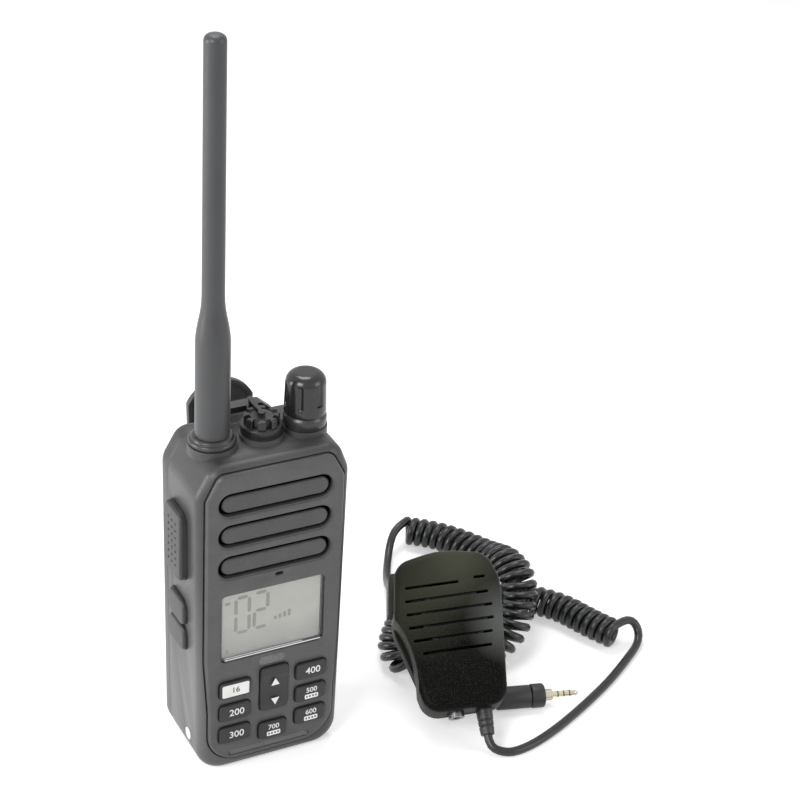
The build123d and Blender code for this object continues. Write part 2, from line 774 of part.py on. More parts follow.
def volume_knob():
    """The knob: a tapered, domed body with upright flutes, on its stem."""
    low = boss_z + knob_ring_h + 0.3
    height = knob_top_z - low
    knob = Pos(knob_x, row_y, low + height / 2) * Cone(knob_r, knob_top_r, height)
    knob = fillet(knob.edges().group_by(Axis.Z)[-1], knob_round)
    for index in range(knob_flutes):
        angle = radians(flute_turn + 360 / knob_flutes * index)
        reach = knob_r + flute_out - (knob_r - knob_top_r) / 2
        x = knob_x + reach * cos(angle)
        y = row_y + reach * sin(angle)
        ends = (low + flute_low + flute_r, low + flute_low + flute_h - flute_r)
        knob -= post(x, y, ends, flute_r)
        for z in ends:
            knob -= Pos(x, y, z) * Sphere(flute_r)
    return knob + post(knob_x, row_y, (deck_z - stem_depth, low), knob_stem_r)


def volume_encoder():
    body = post(knob_x, row_y, (deck_z - encoder_z[0], deck_z - encoder_z[1]), encoder_r)
    return body - post(knob_x, row_y, (deck_z - stem_depth - 0.2, deck_z), knob_stem_r + stem_fit)


# ---------------------------------------------------------------- back
def rear_housing():
    plate = slab(case, seam_y, seam_y + rear_plate)
    top = slab(case & (Pos(0, (pack_top_z + deck_z) / 2) * Rectangle(4 * half_w, deck_z - pack_top_z)),
               seam_y + rear_plate, back_y)
    back_edges = top.edges().filter_by_position(Axis.Y, back_y - 0.01, back_y + 0.01)
    rim = back_edges.sort_by(Axis.Z)[1:]
    top = fillet(rim, back_round)
    ridge_sketch = Polygon((-ridge_half_foot, deck_z - 3), (ridge_half_foot, deck_z - 3),
                           (ridge_half_foot, deck_z - 0.2), (ridge_half_top, ridge_z),
                           (-ridge_half_top, ridge_z), (-ridge_half_foot, deck_z - 0.2), align=None)
    ridge_sketch = fillet(ridge_sketch.vertices().group_by(Axis.Y)[-1], 2.0)
    ridge_y = (back_y - ridge_t - 1.5, back_y - 1.5)
    shell = plate + top + slab(ridge_sketch, *ridge_y)
    slot = slab(pill(0, ridge_z - 2.0 - lanyard_h / 2 - 0.4, lanyard_half, lanyard_h), seam_y, back_y + 5)
    shell -= slot - slab(Rectangle(4 * half_w, 4 * deck_z), seam_y - 5, ridge_y[0] - 3)
    inner = grown(case, -wall) & (Pos(0, (pack_top_z + deck_z) / 2) * Rectangle(
        4 * half_w, deck_z - pack_top_z - 2 * wall - 6))
    shell -= slab(inner, seam_y - 1, back_y - wall)
    shell -= box((-contact_half - 0.2, contact_half + 0.2), (seam_y - 1, seam_y + rear_plate + 1),
                 (contact_rows[0] - 0.2, contact_rows[1] + 0.2))
    return shell


def case_gasket():
    outer = grown(case, -wall - 0.1)
    inner = grown(case, -wall - 0.1 - gasket_t)
    return slab(outer - inner, seam_y - 1.2, seam_y)


def battery_contacts():
    return box((-contact_half, contact_half), (seam_y - 0.4, seam_y + rear_plate + pack_gap - 0.05),
               contact_rows)


def battery_pack():
    y0 = seam_y + rear_plate + pack_gap
    sketch = case & (Pos(0, (pack_top_z - pack_gap) / 2) * Rectangle(4 * half_w, pack_top_z - pack_gap))
    pack = slab(sketch, y0, back_y)
    back_edges = pack.edges().filter_by_position(Axis.Y, back_y - 0.01, back_y + 0.01)
    rim = back_edges.sort_by(Axis.Z)[:-1]
    pack = fillet(rim, back_round)
    pack -= slab(grown(sketch, -wall - 1.5), y0 + pack_wall, back_y - pack_wall)
    z0 = latch_z - pack_gap
    z1 = latch_z + latch_h + latch_travel + pack_gap
    pack += box((-latch_half - 2, latch_half + 2), (back_y - pack_wall - 2.0, back_y - pack_wall / 2),
                (z0 - 2, z1 + 2))
    pack -= box((-latch_half - pack_gap, latch_half + pack_gap),
                (back_y - pack_wall - 0.3, back_y + 1), (z0, z1))
    return pack


def battery_latch():
    y0 = back_y - pack_wall - 0.15
    latch = box((-latch_half, latch_half), (y0, back_y + latch_proud), (latch_z, latch_z + latch_h))
    outer = latch.edges().filter_by_position(Axis.Y, back_y + latch_proud - 0.01,
                                             back_y + latch_proud + 0.01)
    latch = chamfer(outer, 0.5)
    for index in range(3):
        z = latch_z + latch_h / 4 * (index + 1)
        latch -= rod_x(back_y + latch_proud + 0.25, z, (-latch_half + 1.5, latch_half - 1.5), 0.6)
    return latch


def battery_cells():
    y0 = seam_y + rear_plate + pack_gap + pack_wall + 0.1
    y1 = back_y - pack_wall - 0.1
    cell_x = (cell_reach + cell_gap) / 2
    sketch = card(0, (cell_foot_z + cell_top_z) / 2, cell_reach - cell_gap, cell_top_z - cell_foot_z, 3.0)
    cells = [slab(Pos(side * cell_x, 0) * sketch, y0, y1) for side in (-1, 1)]
    return Compound(children=cells)


def clip_base():
    y = (back_y, back_y + clip_base_t)
    middle = (clip_base_z[0] + clip_base_z[1]) / 2
    plate = slab(card(0, middle, clip_w, clip_base_z[1] - clip_base_z[0], 3.0), *y)
    pin_y = back_y + clip_pin_off
    for side in (-1, 1):
        x_out = side * clip_w / 2
        x_in = side * (clip_w / 2 - clip_ear_t)
        x = (min(x_out, x_in), max(x_out, x_in))
        ear = box(x, (back_y + 1, pin_y), (clip_pin_z - clip_ear_r, clip_pin_z + clip_ear_r))
        ear += rod_x(pin_y, clip_pin_z, x, clip_ear_r)
        plate += ear
    return plate - rod_x(pin_y, clip_pin_z, (-clip_w, clip_w), clip_pin_r)


def clip_pin():
    return rod_x(back_y + clip_pin_off, clip_pin_z, (-clip_w / 2, clip_w / 2), clip_pin_r)


def clip_lever():
    """The sprung arm of the belt clip: a tongue with an arched thumb end and a hooked foot."""
    y0 = back_y + clip_arm_off
    y1 = y0 + clip_arm_t
    half = clip_w / 2 + 2.0
    with BuildSketch() as sketch:
        with BuildLine():
            Polyline((half, clip_top_z - clip_arch_h), (half - 2, clip_low_z + 8))
            RadiusArc((half - 2, clip_low_z + 8), (-half + 2, clip_low_z + 8), half + 3)
            Polyline((-half + 2, clip_low_z + 8), (-half, clip_top_z - clip_arch_h))
            ThreePointArc((-half, clip_top_z - clip_arch_h), (0, clip_top_z),
                          (half, clip_top_z - clip_arch_h))
        make_face()
    arm = slab(sketch.sketch, y0, y1)
    arm -= slab(Pos(0, clip_top_z - clip_arch_h) * SlotOverall(*clip_thumb), y1 - 1.0, y1 + 1)
    bowl = grown(sketch.sketch, -clip_rim) & (Pos(0, clip_top_z) * Rectangle(4 * half, 2 * clip_bowl_h))
    arm -= slab(bowl, y0 - 1, y0 + clip_bowl)
    pin_y = back_y + clip_pin_off
    inner = clip_w / 2 - clip_ear_t - 0.3
    hub = rod_x(pin_y, clip_pin_z, (-inner, inner), 3.4)
    neck = box((-inner, inner), (pin_y, y0 + 0.5), (clip_pin_z - 3.4, clip_pin_z + 3.4))
    arm += hub + neck
    arm += box((-half + 6, half - 6), (y0 - 3.2, y0 + 0.5), (clip_low_z + 6, clip_low_z + 9))
    arm -= box((-4.2, 4.2), (back_y, y0), (clip_pin_z - 5, clip_pin_z + 5))
    arm -= rod_x(pin_y, clip_pin_z, (-inner - 1, inner + 1), clip_pin_r + clip_fit)
    return arm


def clip_spring():
    """The torsion spring round the pin, with a leg against the base."""
    pin_y = back_y + clip_pin_off
    coil = rod_x(pin_y, clip_pin_z, (-3.6, 3.6), clip_pin_r + 0.1 + 2 * spring_wire)
    coil -= rod_x(pin_y, clip_pin_z, (-4, 4), clip_pin_r + 0.1)
    leg_y = (back_y + clip_base_t, pin_y)
    leg = box((2.6, 3.6), leg_y, (clip_pin_z - 2.6, clip_pin_z - 1.75))
    return coil + leg


def case_screws():
    """The two screws beside the clip that hold the rear housing."""
    heads = [rod_y(side * screw_x, screw_z, (back_y, back_y + 0.5), screw_r) for side in (-1, 1)]
    return Compound(children=heads)


# ---------------------------------------------------------------- speaker microphone
mic_pose = Pos(*mic_at) * Rot(0, 0, mic_yaw) * Rot(mic_lean, 0, 0) * Rot(0, 0, mic_roll)
floor_pose = Pos(cord_at[0], cord_at[1], 0) * Rot(0, 0, cord_yaw)
boot_way = Rot(0, 0, boot_turn) * Rot(90, 0, 0)


def mic_outline(half, low, corner, shrink):
    """The microphone seen on its face, by half the width, the height and the corners of its foot."""
    points = [(-half, low), (half, low), (mic_right_half, mic_right_y),
              (mic_top_half, mic_top_y), (0, mic_crown_y), (-mic_top_half, mic_top_y),
              (-mic_left_half, mic_left_y)]
    radii = [corner, corner, mic_corner_wide, mic_corner_top, mic_crown_r, mic_corner_top,
             mic_corner_wide]
    face = outline(points, radii)
    return grown(face, -shrink) if shrink else face


def mic_front_outline(shrink=0.0):
    """The front cover's outline, or one inside it."""
    return mic_outline(mic_foot_half, 0, mic_corner_foot, shrink)


def mic_rear_outline(shrink=0.0):
    """The rear cover's outline, which tapers more at the foot."""
    return mic_outline(mic_rear_foot_half, mic_rear_foot_y, mic_corner_rear_foot, shrink)


def mic_prism(sketch, z0, z1):
    return extrude(Plane.XY.offset(z0) * sketch, amount=z1 - z0)


def grip_disc(grow):
    """The circle of the finger hollow in the left edge, below the push-to-talk bar."""
    middle = (grip_y[0] + grip_y[1]) / 2
    reach = (grip_y[1] - grip_y[0]) / 2
    radius = (reach ** 2 + grip_in ** 2) / (2 * grip_in)
    slope = (mic_left_half - mic_foot_half) / mic_left_y
    edge = -mic_foot_half - slope * middle
    return Pos(edge - radius + grip_in, middle) * Circle(radius + grow)


def mic_edge(y):
    """Reach of the microphone to the left, above its widest place."""
    share = (y - mic_left_y) / (mic_top_y - mic_left_y)
    return mic_left_half + (mic_top_half - mic_left_half) * share


def mic_ptt_room(gap, extra):
    """A block round the push-to-talk bar, with a gap beside it and extra room inwards."""
    y0, y1 = mic_ptt_y
    z0, z1 = mic_ptt_z
    x_in = -mic_edge(y1) + mic_ptt_in + extra
    return box((-mic_left_half - mic_ptt_proud - 1, x_in), (y0 - gap, y1 + gap), (z0 - gap, z1 + gap))


def mic_front_cover():
    cover = mic_prism(mic_front_outline(), mic_split, mic_t)
    rim = cover.edges().filter_by_position(Axis.Z, mic_t - 0.01, mic_t + 0.01)
    cover = fillet(rim, mic_front_round)
    cover -= mic_prism(mic_rear_outline(mic_wall), mic_split - 1, mic_t - mic_wall)
    cover -= mic_prism(grip_disc(0), mic_split - 1, mic_t + 1)
    grip_wall = (grip_disc(mic_wall) - grip_disc(0)) & mic_front_outline(0.2)
    cover += mic_prism(grip_wall, mic_split, mic_t - mic_wall + 0.5)
    for row, (x0, x1) in enumerate(mic_slots):
        y = mic_slot_top_y - mic_slot_pitch * row
        cover -= mic_prism(Pos((x0 + x1) / 2, y) * SlotOverall(x1 - x0, mic_slot_h),
                           mic_t - mic_wall - 1, mic_t + 1)
    port_x = sum(mic_port) / 2
    cover -= mic_prism(Pos(port_x, mic_slot_top_y + mic_port_rise) * SlotOverall(
        mic_port[1] - mic_port[0], mic_slot_h), mic_t - mic_wall - 1, mic_t + 1)
    cover -= mic_ptt_room(mic_ptt_gap, mic_ptt_travel + mic_ptt_gap)
    cover -= foot_holes()
    return cover


def mic_rear_cover():
    cover = mic_prism(mic_rear_outline(mic_step), 0, mic_split)
    rim = cover.edges().filter_by_position(Axis.Z, -0.01, 0.01)
    cover = fillet(rim, mic_back_round)
    cover -= mic_prism(mic_rear_outline(mic_step + mic_wall + 1), mic_wall, mic_split + 1)
    cover -= mic_ptt_room(mic_ptt_gap, mic_ptt_travel + mic_ptt_gap)
    cover -= foot_holes()
    return cover


def mic_jack_rod(r, grow):
    """A rod along the earphone jack, longer than it at both ends by the given amount."""
    middle = mic_jack_len / 2 - mic_jack_out
    return Pos(mic_jack_x, middle, mic_jack_z) * Rot(90, 0, 0) * Cylinder(r, mic_jack_len + 2 * grow)


def foot_holes():
    """Holes in the lower edge for the cord's boot and the earphone jack."""
    boot_hole = Pos(boot_x, 0, boot_z) * boot_way * Cylinder(boot_r[0] + 0.05, 2 * boot_root + 4)
    return boot_hole + mic_jack_rod(mic_jack_r + 0.2, 3.0)


def mic_ptt():
    """The push-to-talk bar, a band that follows the edge of the case."""
    band = mic_front_outline(-mic_ptt_proud) - mic_front_outline(mic_ptt_in)
    return mic_prism(band, *mic_ptt_z) & mic_ptt_room(0, 0)


def mic_ptt_switch():
    """The switch under the push-to-talk bar, on a block that stands on the board."""
    middle = sum(mic_ptt_y) / 2
    face = -mic_edge(middle) + mic_ptt_in + mic_ptt_travel + 0.6
    across, along, deep = mic_switch
    foot_in, foot_w = mic_switch_foot
    switch = box((face, face + across), (middle - along / 2, middle + along / 2),
                 (mic_switch_z, mic_switch_z + deep))
    foot_y = (mic_board_y[1] - foot_w, middle + along / 2)
    return switch + box((face + across - 1, -mic_board_half + foot_in), foot_y,
                        (mic_wall + 0.1, mic_switch_z + deep))


def mic_speaker():
    return Pos(1.5, mic_speaker_y, mic_t - mic_wall - 0.1) * loudspeaker(mic_speaker_r, 7.0)


def mic_board():
    low = mic_wall + 0.1
    plate = box((-mic_board_half, mic_board_half), mic_board_y, (low, low + mic_board_t))
    chip_x, chip_y, chip_h = mic_chip
    chip_z = low + mic_board_t
    return plate + box(chip_x, chip_y, (chip_z, chip_z + chip_h)) + mic_ptt_switch()


def mic_earphone_jack():
    bore = Pos(0, -2, 0) * mic_jack_rod(jack_hole_r, 0)
    return mic_jack_rod(mic_jack_r, 0) - bore


def mic_clip_base():
    y0, y1 = mic_clip_y
    half = mic_clip_w / 2
    plate = box((-half, half), (y0 + 4, y1 - 6), (-mic_clip_base_t, 0))
    for side in (-1, 1):
        x = sorted((side * half, side * (half - mic_clip_ear_t)))
        plate += box(x, (mic_clip_pin_y - mic_clip_ear_r, mic_clip_pin_y + mic_clip_ear_r),
                     (mic_clip_pin_z, -mic_clip_base_t + 0.2))
        plate += Pos(sum(x) / 2, mic_clip_pin_y, mic_clip_pin_z) * Rot(0, 90, 0) * Cylinder(
            mic_clip_ear_r, mic_clip_ear_t)
    return plate - mic_clip_hole(mic_clip_pin_r)


def mic_clip_hole(r):
    return Pos(0, mic_clip_pin_y, mic_clip_pin_z) * Rot(0, 90, 0) * Cylinder(r, 40)


def mic_clip_pin():
    return Pos(0, mic_clip_pin_y, mic_clip_pin_z) * Rot(0, 90, 0) * Cylinder(
        mic_clip_pin_r, mic_clip_w)


def mic_clip_lever():
    """The sprung jaw: its thumb end is low on the back, its teeth point to the top."""
    y0, y1 = mic_clip_y
    half = mic_clip_w / 2
    inner = half - mic_clip_ear_t - 0.3
    hub_r = mic_clip_pin_r + 1.2
    deep = -mic_clip_depth
    arm = box((-half, half), (y0, y1), (deep, deep + mic_clip_t))
    arm = fillet(arm.edges().filter_by(Axis.Z), 3.0)
    arm += box((-half + 2, half - 2), (y1 - 4.0, y1 - 2.4), (deep, -0.6))
    hub = Pos(0, mic_clip_pin_y, mic_clip_pin_z) * Rot(0, 90, 0) * Cylinder(hub_r, 2 * inner)
    arm += hub + box((-inner, inner), (mic_clip_pin_y - hub_r, mic_clip_pin_y + hub_r),
                     (deep + 1, mic_clip_pin_z))
    return arm - mic_clip_hole(mic_clip_pin_r + clip_fit)


def mic_screws():
    heads = []
    for half, y in zip(mic_screw_x, mic_screw_y):
        for x in (-half, half):
            heads.append(Pos(x, y, -0.3) * Cylinder(mic_screw_r, 0.6))
    return Compound(children=heads)


# ---------------------------------------------------------------- cord and plug
def swept(points, radius):
    """A tube along straight runs joined by tangent arcs, each as large as its runs allow."""
    vectors = [Vector(*p) for p in points]
    radii = []
    for before, here, after in zip(vectors, vectors[1:], vectors[2:]):
        run_in = here - before
        run_out = after - here
        turn = radians(run_in.get_angle(run_out))
        radii.append(0.45 * min(run_in.length, run_out.length) / tan(turn / 2))
    path = FilletPolyline(*vectors, radius=radii)
    start = Plane(origin=path @ 0, z_dir=path % 0)
    tube = sweep(start * Circle(radius), path)
    true_volume = pi * radius ** 2 * path.length
    print(f"cord radii {[round(r, 1) for r in radii]} length {path.length:.1f} "
          f"volume {tube.volume:.1f} of {true_volume:.1f}")
    return tube


def floor_point(location):
    """A place given in the room, as (across, away, up) from the microphone's lower edge."""
    return tuple((floor_pose.inverse() * location).position)


boot_tip = floor_point(mic_pose * Pos(boot_x, 0, boot_z) * boot_way * Pos(0, 0, boot_len))
boot_lead = floor_point(mic_pose * Pos(boot_x, 0, boot_z) * boot_way
                        * Pos(0, 0, boot_len + boot_lead_len))
plug_start = (plug_at[0], plug_at[1], collar_r + 0.05)
plug_lead = (plug_at[0] - plug_lead_len * cos(radians(plug_yaw)),
             plug_at[1] - plug_lead_len * sin(radians(plug_yaw)), plug_start[2])
lead_points = [boot_tip, boot_lead, (10.8, -19.4, 2.6), (16.4, -20.3, 1.95), (26.5, -16.6, 1.95),
               (38.3, -9.2, 1.95), (50.0, -0.3, 1.95), (61.5, 9.2, 1.95), (73.5, 19.8, 1.95),
               (86.0, 33.0, 1.95), (94.5, 42.5, 2.2), (96.5, 48.5, 6.0), (92.5, 50.5, 11.0),
               (86.5, 47.0, 12.6)]
coil_points = [(85.0, 43.2, 7.1), (76.5, 53.0, 7.1), (66.0, 70.5, 7.1), (48.0, 82.0, 7.1),
               (22.0, 85.5, 7.1), (-5.0, 78.0, 7.1), (-18.0, 59.5, 7.1), (-14.5, 43.5, 7.1),
               (4.0, 42.0, 7.1), (22.5, 43.0, 7.1), (35.5, 48.0, 10.0), (43.5, 60.0, 18.3),
               (46.5, 78.0, 22.4), (45.5, 97.0, 18.6), (43.0, 115.5, 10.5), (36.0, 130.0, 7.1),
               (23.0, 140.0, 7.1), (11.5, 144.5, 7.1)]
tail_points = [(15.5, 145.5, 12.3), (8.0, 151.0, 10.6), (3.6, 146.0, 4.6), (1.0, 136.5, 1.95),
               (-2.5, 123.0, 1.95), (-5.0, 109.5, 3.0), (-7.2, 96.0, 8.6), (-9.5, 83.0, 16.4),
               (-11.0, 66.0, 17.2), (-12.0, 50.0, 17.6), (-13.2, 37.5, 16.2), (-13.5, 27.5, 10.0),
               (-9.5, 19.0, 6.8), plug_lead, plug_start]


def floor_tube(points, radius):
    return floor_pose * swept(points, radius)


plug_pose = floor_pose * Pos(*plug_start) * Rot(0, 0, plug_yaw) * Rot(0, 90, 0)


def plug_body():
    """The moulded body of the plug, along its own z axis from the cord to the collar."""
    end = plug_boot_len + plug_body_len
    profile = Plane.XZ * Polygon(
        (0, 0), (plug_boot_r[0], 0), (plug_boot_r[1], plug_boot_len - 1.5), (plug_r, plug_boot_len),
        (plug_r, end), (neck_r + 1.2, end), (neck_r + 1.2, end + collar_len - 1),
        (0, end + collar_len - 1), align=None)
    return plug_pose * revolve(profile, Axis.Z)


def plug_collar():
    """The screw collar that turns on the plug's nose."""
    start = plug_boot_len + plug_body_len + 0.3
    end = start + collar_len
    bore = neck_r + 1.2 + collar_fit
    profile = Plane.XZ * Polygon(
        (bore, start), (collar_r - 0.4, start), (collar_r, start + 0.5), (collar_r, end - 0.6),
        (collar_r - 0.6, end), (bore, end), align=None)
    return plug_pose * revolve(profile, Axis.Z)


def plug_pin():
    """The gold neck and the four-pole pin."""
    start = plug_boot_len + plug_body_len + collar_len - 1
    neck_end = start + 1.3 + neck_len
    end = neck_end + pin_len
    profile = Plane.XZ * Polygon(
        (0, start), (neck_r, start), (neck_r, neck_end), (pin_r, neck_end), (pin_r, end - 2.4),
        (pin_r - 0.3, end - 2.0), (pin_r - 0.3, end - 1.6), (pin_r, end - 1.2), (pin_r * 0.4, end),
        (0, end), align=None)
    return plug_pose * revolve(profile, Axis.Z)


def strain_relief():
    """The cord's boot: it leaves the lower edge of the microphone along its length."""
    width, depth = boot_groove
    profile = [(0, -boot_root), (boot_r[0], -boot_root)]
    for z in boot_grooves:
        r = boot_r[0] + (boot_r[1] - boot_r[0]) * z / boot_len
        profile += [(r, z), (r - depth, z), (r - depth, z + width), (r, z + width)]
    profile += [(boot_r[1], boot_len), (0, boot_len)]
    face = Plane.XZ * Polygon(*profile, align=None)
    return mic_pose * Pos(boot_x, 0, boot_z) * boot_way * revolve(face, Axis.Z)


# ---------------------------------------------------------------- everything
keep("front_housing", front_housing())
keep("front_panel", front_panel())
keep("grille_insert", grille_insert())
keep("speaker_membrane", speaker_membrane())
keep("speaker", speaker())
keep("window_lens", window_lens())
keep("display_module", display_module())
keep("key_mat", key_mat())
for key_name, place in key_places().items():
    keep(key_name, front_key(*place))
keep("channel_rocker", channel_rocker())
keep("main_board", main_board())
keep("chassis", chassis())
keep("ptt_button", wall_key(ptt_y, ptt_z, ptt_proud))
for index, key_name in enumerate(("side_key_lower", "side_key_upper")):
    keep(key_name, wall_key(side_key_y, half_range(side_key_z, index, 2, side_split), side_key_proud))
keep("side_switches", side_switches())
keep("charge_contact", charge_contact())
keep("antenna_ring", antenna_ring())
keep("antenna_connector", antenna_connector())
keep("antenna", antenna())
keep("jack_socket", jack_socket())
keep("jack_cap", jack_cap())
keep("cap_tether", cap_tether())
keep("knob_ring", knob_ring())
keep("volume_knob", volume_knob())
keep("volume_encoder", volume_encoder())
keep("rear_housing", rear_housing())
keep("case_gasket", case_gasket())
keep("battery_contacts", battery_contacts())
keep("battery_pack", battery_pack())
keep("battery_latch", battery_latch())
keep("battery_cells", battery_cells())
keep("clip_base", clip_base())
keep("clip_pin", clip_pin())
keep("clip_lever", clip_lever())
keep("clip_spring", clip_spring())
keep("case_screws", case_screws())
mic_pieces = (mic_front_cover, mic_rear_cover, mic_ptt, mic_speaker, mic_board, mic_earphone_jack,
              mic_clip_base, mic_clip_pin, mic_clip_lever, mic_screws)
for piece in mic_pieces:
    keep(piece.__name__, mic_pose * piece())
keep("strain_relief", strain_relief())
keep("cord_lead", floor_tube(lead_points, cord_r))
keep("cord_coil", floor_tube(coil_points, coil_r))
keep("cord_tail", floor_tube(tail_points, cord_r))
keep("plug_body", plug_body())
keep("plug_collar", plug_collar())
keep("plug_pin", plug_pin())

for name, shape in parts.items():
    export_step(shape, f"parts/{name}.step")
print(len(parts), "nodes")
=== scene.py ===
from math import cos, pi, radians, sin, sqrt

import bmesh
import bpy
from mathutils import Matrix, Vector


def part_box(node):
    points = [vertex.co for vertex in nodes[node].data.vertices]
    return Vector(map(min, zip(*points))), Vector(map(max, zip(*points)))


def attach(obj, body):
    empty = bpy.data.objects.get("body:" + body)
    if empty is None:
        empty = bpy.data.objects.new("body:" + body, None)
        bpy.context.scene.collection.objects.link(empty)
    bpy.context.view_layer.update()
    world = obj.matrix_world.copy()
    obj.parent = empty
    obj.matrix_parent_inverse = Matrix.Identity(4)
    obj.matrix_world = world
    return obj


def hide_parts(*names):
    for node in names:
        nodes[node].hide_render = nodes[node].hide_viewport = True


# A handheld marine radio on its base and its speaker microphone beside it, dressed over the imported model.
# Lengths are written in millimetres and multiplied by MM where they reach Blender.
MM = 0.001

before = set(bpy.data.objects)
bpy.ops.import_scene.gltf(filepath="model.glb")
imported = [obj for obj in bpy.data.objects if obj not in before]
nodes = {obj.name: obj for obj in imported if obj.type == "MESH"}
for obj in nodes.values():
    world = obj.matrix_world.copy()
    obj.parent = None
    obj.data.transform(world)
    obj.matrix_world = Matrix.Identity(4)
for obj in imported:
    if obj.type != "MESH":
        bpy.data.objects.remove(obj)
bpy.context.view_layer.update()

# ------------------------------------------------------------------ sizes shared with the solids, in mm
PANEL_FRONT = -20.2    # the front panel's face along y
KEY_FRONT = -21.5      # the faces of the keys
# painted shade: deeper than this the grille's faces get a near-black finish
SLOT_SHADE = 1.6       # the grille's slots are dark this far behind the panel's face
CORD_R = 1.9

# the microphone's own frame: x across, y up its face, z out of its face
MIC_POSE = (Matrix.Translation(Vector((83.5, -31.5, 2.2)) * MM) @ Matrix.Rotation(radians(-22.3), 4, "Z")
            @ Matrix.Rotation(radians(38.0), 4, "X") @ Matrix.Rotation(radians(8.0), 4, "Z"))
# the cord's points are (across, away, up) from a place on the floor below the microphone
FLOOR_POSE = Matrix.Translation(Vector((81.8, -35.0, 0)) * MM) @ Matrix.Rotation(radians(-12.0), 4, "Z")
PLUG_START = (6.2, 12.6, 5.25)
PLUG_POSE = (FLOOR_POSE @ Matrix.Translation(Vector(PLUG_START) * MM)
             @ Matrix.Rotation(radians(-3.4), 4, "Z") @ Matrix.Rotation(radians(90), 4, "Y"))


def object_from(name, data):
    """A mesh, curve, camera or lamp as an object of the scene."""
    piece = bpy.data.objects.new(name, data)
    bpy.context.scene.collection.objects.link(piece)
    return piece


# ------------------------------------------------------------------ camera, room and light
CAMERA_LENS = 98.468
CAMERA_PLACE = (-296.389, -667.678, 576.394)
CAMERA_RIGHT = Vector((0.892824, -0.447749, 0.048842))
CAMERA_UP = Vector((0.183437, 0.460518, 0.868490))
CAMERA_AHEAD = Vector((0.411358, 0.766449, -0.493295))
# each lamp's name, place in metres, size in metres and power in watts
LAMPS = [("key", (-0.85, -0.5, 0.8), 0.55, 8.5), ("fill", (0.8, -0.75, 0.5), 0.6, 3.0),
         ("top", (0.1, 0.35, 1.1), 0.5, 5.0), ("side", (-1.1, 0.3, 0.3), 0.45, 7.5)]
LAMP_AIM = Vector((0.04, 0.0, 0.08))
ROOM_FILL = 0.34       # how brightly the white room lights the object
FLOOR_GLOW = 0.42      # what the floor gives of its own, so that it looks white
FLOOR_HALF = 4.0       # metres from the floor's middle to its edge


def set_camera():
    """A long lens from the upper left, looking down on the front and the left wall."""
    data = bpy.data.cameras.new("camera")
    data.sensor_width = 36.0
    data.lens = CAMERA_LENS
    data.clip_start = 0.01
    camera = object_from("camera", data)
    turned = Matrix((CAMERA_RIGHT, CAMERA_UP, -CAMERA_AHEAD)).transposed().to_4x4()
    camera.matrix_world = Matrix.Translation(Vector(CAMERA_PLACE) * MM) @ turned
    bpy.context.scene.camera = camera


def seen_by_eye(tree):
    """One for rays from the camera, and for those that metal and glass send out."""
    path = tree.nodes.new("ShaderNodeLightPath")
    total = path.outputs["Is Camera Ray"]
    for name in ("Is Glossy Ray", "Is Transmission Ray"):
        most = tree.nodes.new("ShaderNodeMath")
        most.operation = "MAXIMUM"
        tree.links.new(total, most.inputs[0])
        tree.links.new(path.outputs[name], most.inputs[1])
        total = most.outputs[0]
    return total


def light_room():
    """A white room that the eye sees at full strength and the object only faintly, and four soft lamps."""
    world = bpy.data.worlds.new("studio")
    bpy.context.scene.world = world
    world.use_nodes = True
    tree = world.node_tree
    tree.nodes.clear()
    out = tree.nodes.new("ShaderNodeOutputWorld")
    mix = tree.nodes.new("ShaderNodeMixShader")
    tree.links.new(seen_by_eye(tree), mix.inputs[0])
    for socket, strength in ((1, ROOM_FILL), (2, 1.0)):
        white = tree.nodes.new("ShaderNodeBackground")
        white.inputs["Color"].default_value = (1, 1, 1, 1)
        white.inputs["Strength"].default_value = strength
        tree.links.new(white.outputs[0], mix.inputs[socket])
    tree.links.new(mix.outputs[0], out.inputs[0])
    for name, place, size, power in LAMPS:
        data = bpy.data.lights.new(name, "AREA")
        data.size = size
        data.energy = power
        lamp = object_from(name, data)
        lamp.location = place
        lamp.rotation_euler = (LAMP_AIM - Vector(place)).to_track_quat("-Z", "Y").to_euler()


def lay_floor():
    """A wide pale floor with a little light of its own."""
    bm = bmesh.new()
    bmesh.ops.create_grid(bm, x_segments=1, y_segments=1, size=FLOOR_HALF)
    mesh = bpy.data.meshes.new("floor")
    bm.to_mesh(mesh)
    bm.free()
    floor = object_from("floor", mesh)
    material = bpy.data.materials.new("pale floor")
    material.use_nodes = True
    tree = material.node_tree
    shader = tree.nodes["Principled BSDF"]
    shader.inputs["Base Color"].default_value = (0.9, 0.9, 0.9, 1)
    shader.inputs["Roughness"].default_value = 0.9
    shader.inputs["Specular IOR Level"].default_value = 0.1
    glow = tree.nodes.new("ShaderNodeEmission")
    glow.inputs["Color"].default_value = (1, 1, 1, 1)
    amount = tree.nodes.new("ShaderNodeMath")
    amount.operation = "MULTIPLY"
    amount.inputs[1].default_value = FLOOR_GLOW
    add = tree.nodes.new("ShaderNodeAddShader")
    tree.links.new(seen_by_eye(tree), amount.inputs[0])
    tree.links.new(amount.outputs[0], glow.inputs["Strength"])
    tree.links.new(shader.outputs[0], add.inputs[0])
    tree.links.new(glow.outputs[0], add.inputs[1])
    tree.links.new(add.outputs[0], tree.nodes["Material Output"].inputs["Surface"])
    mesh.materials.append(material)


# ------------------------------------------------------------------ finishes
finishes = {}


def noise(tree, coordinates, size, detail=2.0, stretch=(1, 1, 1)):
    """A noise whose features are about size millimetres across."""
    mapping = tree.nodes.new("ShaderNodeMapping")
    mapping.inputs["Scale"].default_value = stretch
    texture = tree.nodes.new("ShaderNodeTexNoise")
    texture.inputs["Scale"].default_value = 1.0 / (size * MM)
    texture.inputs["Detail"].default_value = detail
    tree.links.new(coordinates, mapping.inputs["Vector"])
    tree.links.new(mapping.outputs[0], texture.inputs["Vector"])
    return texture.outputs["Fac"]


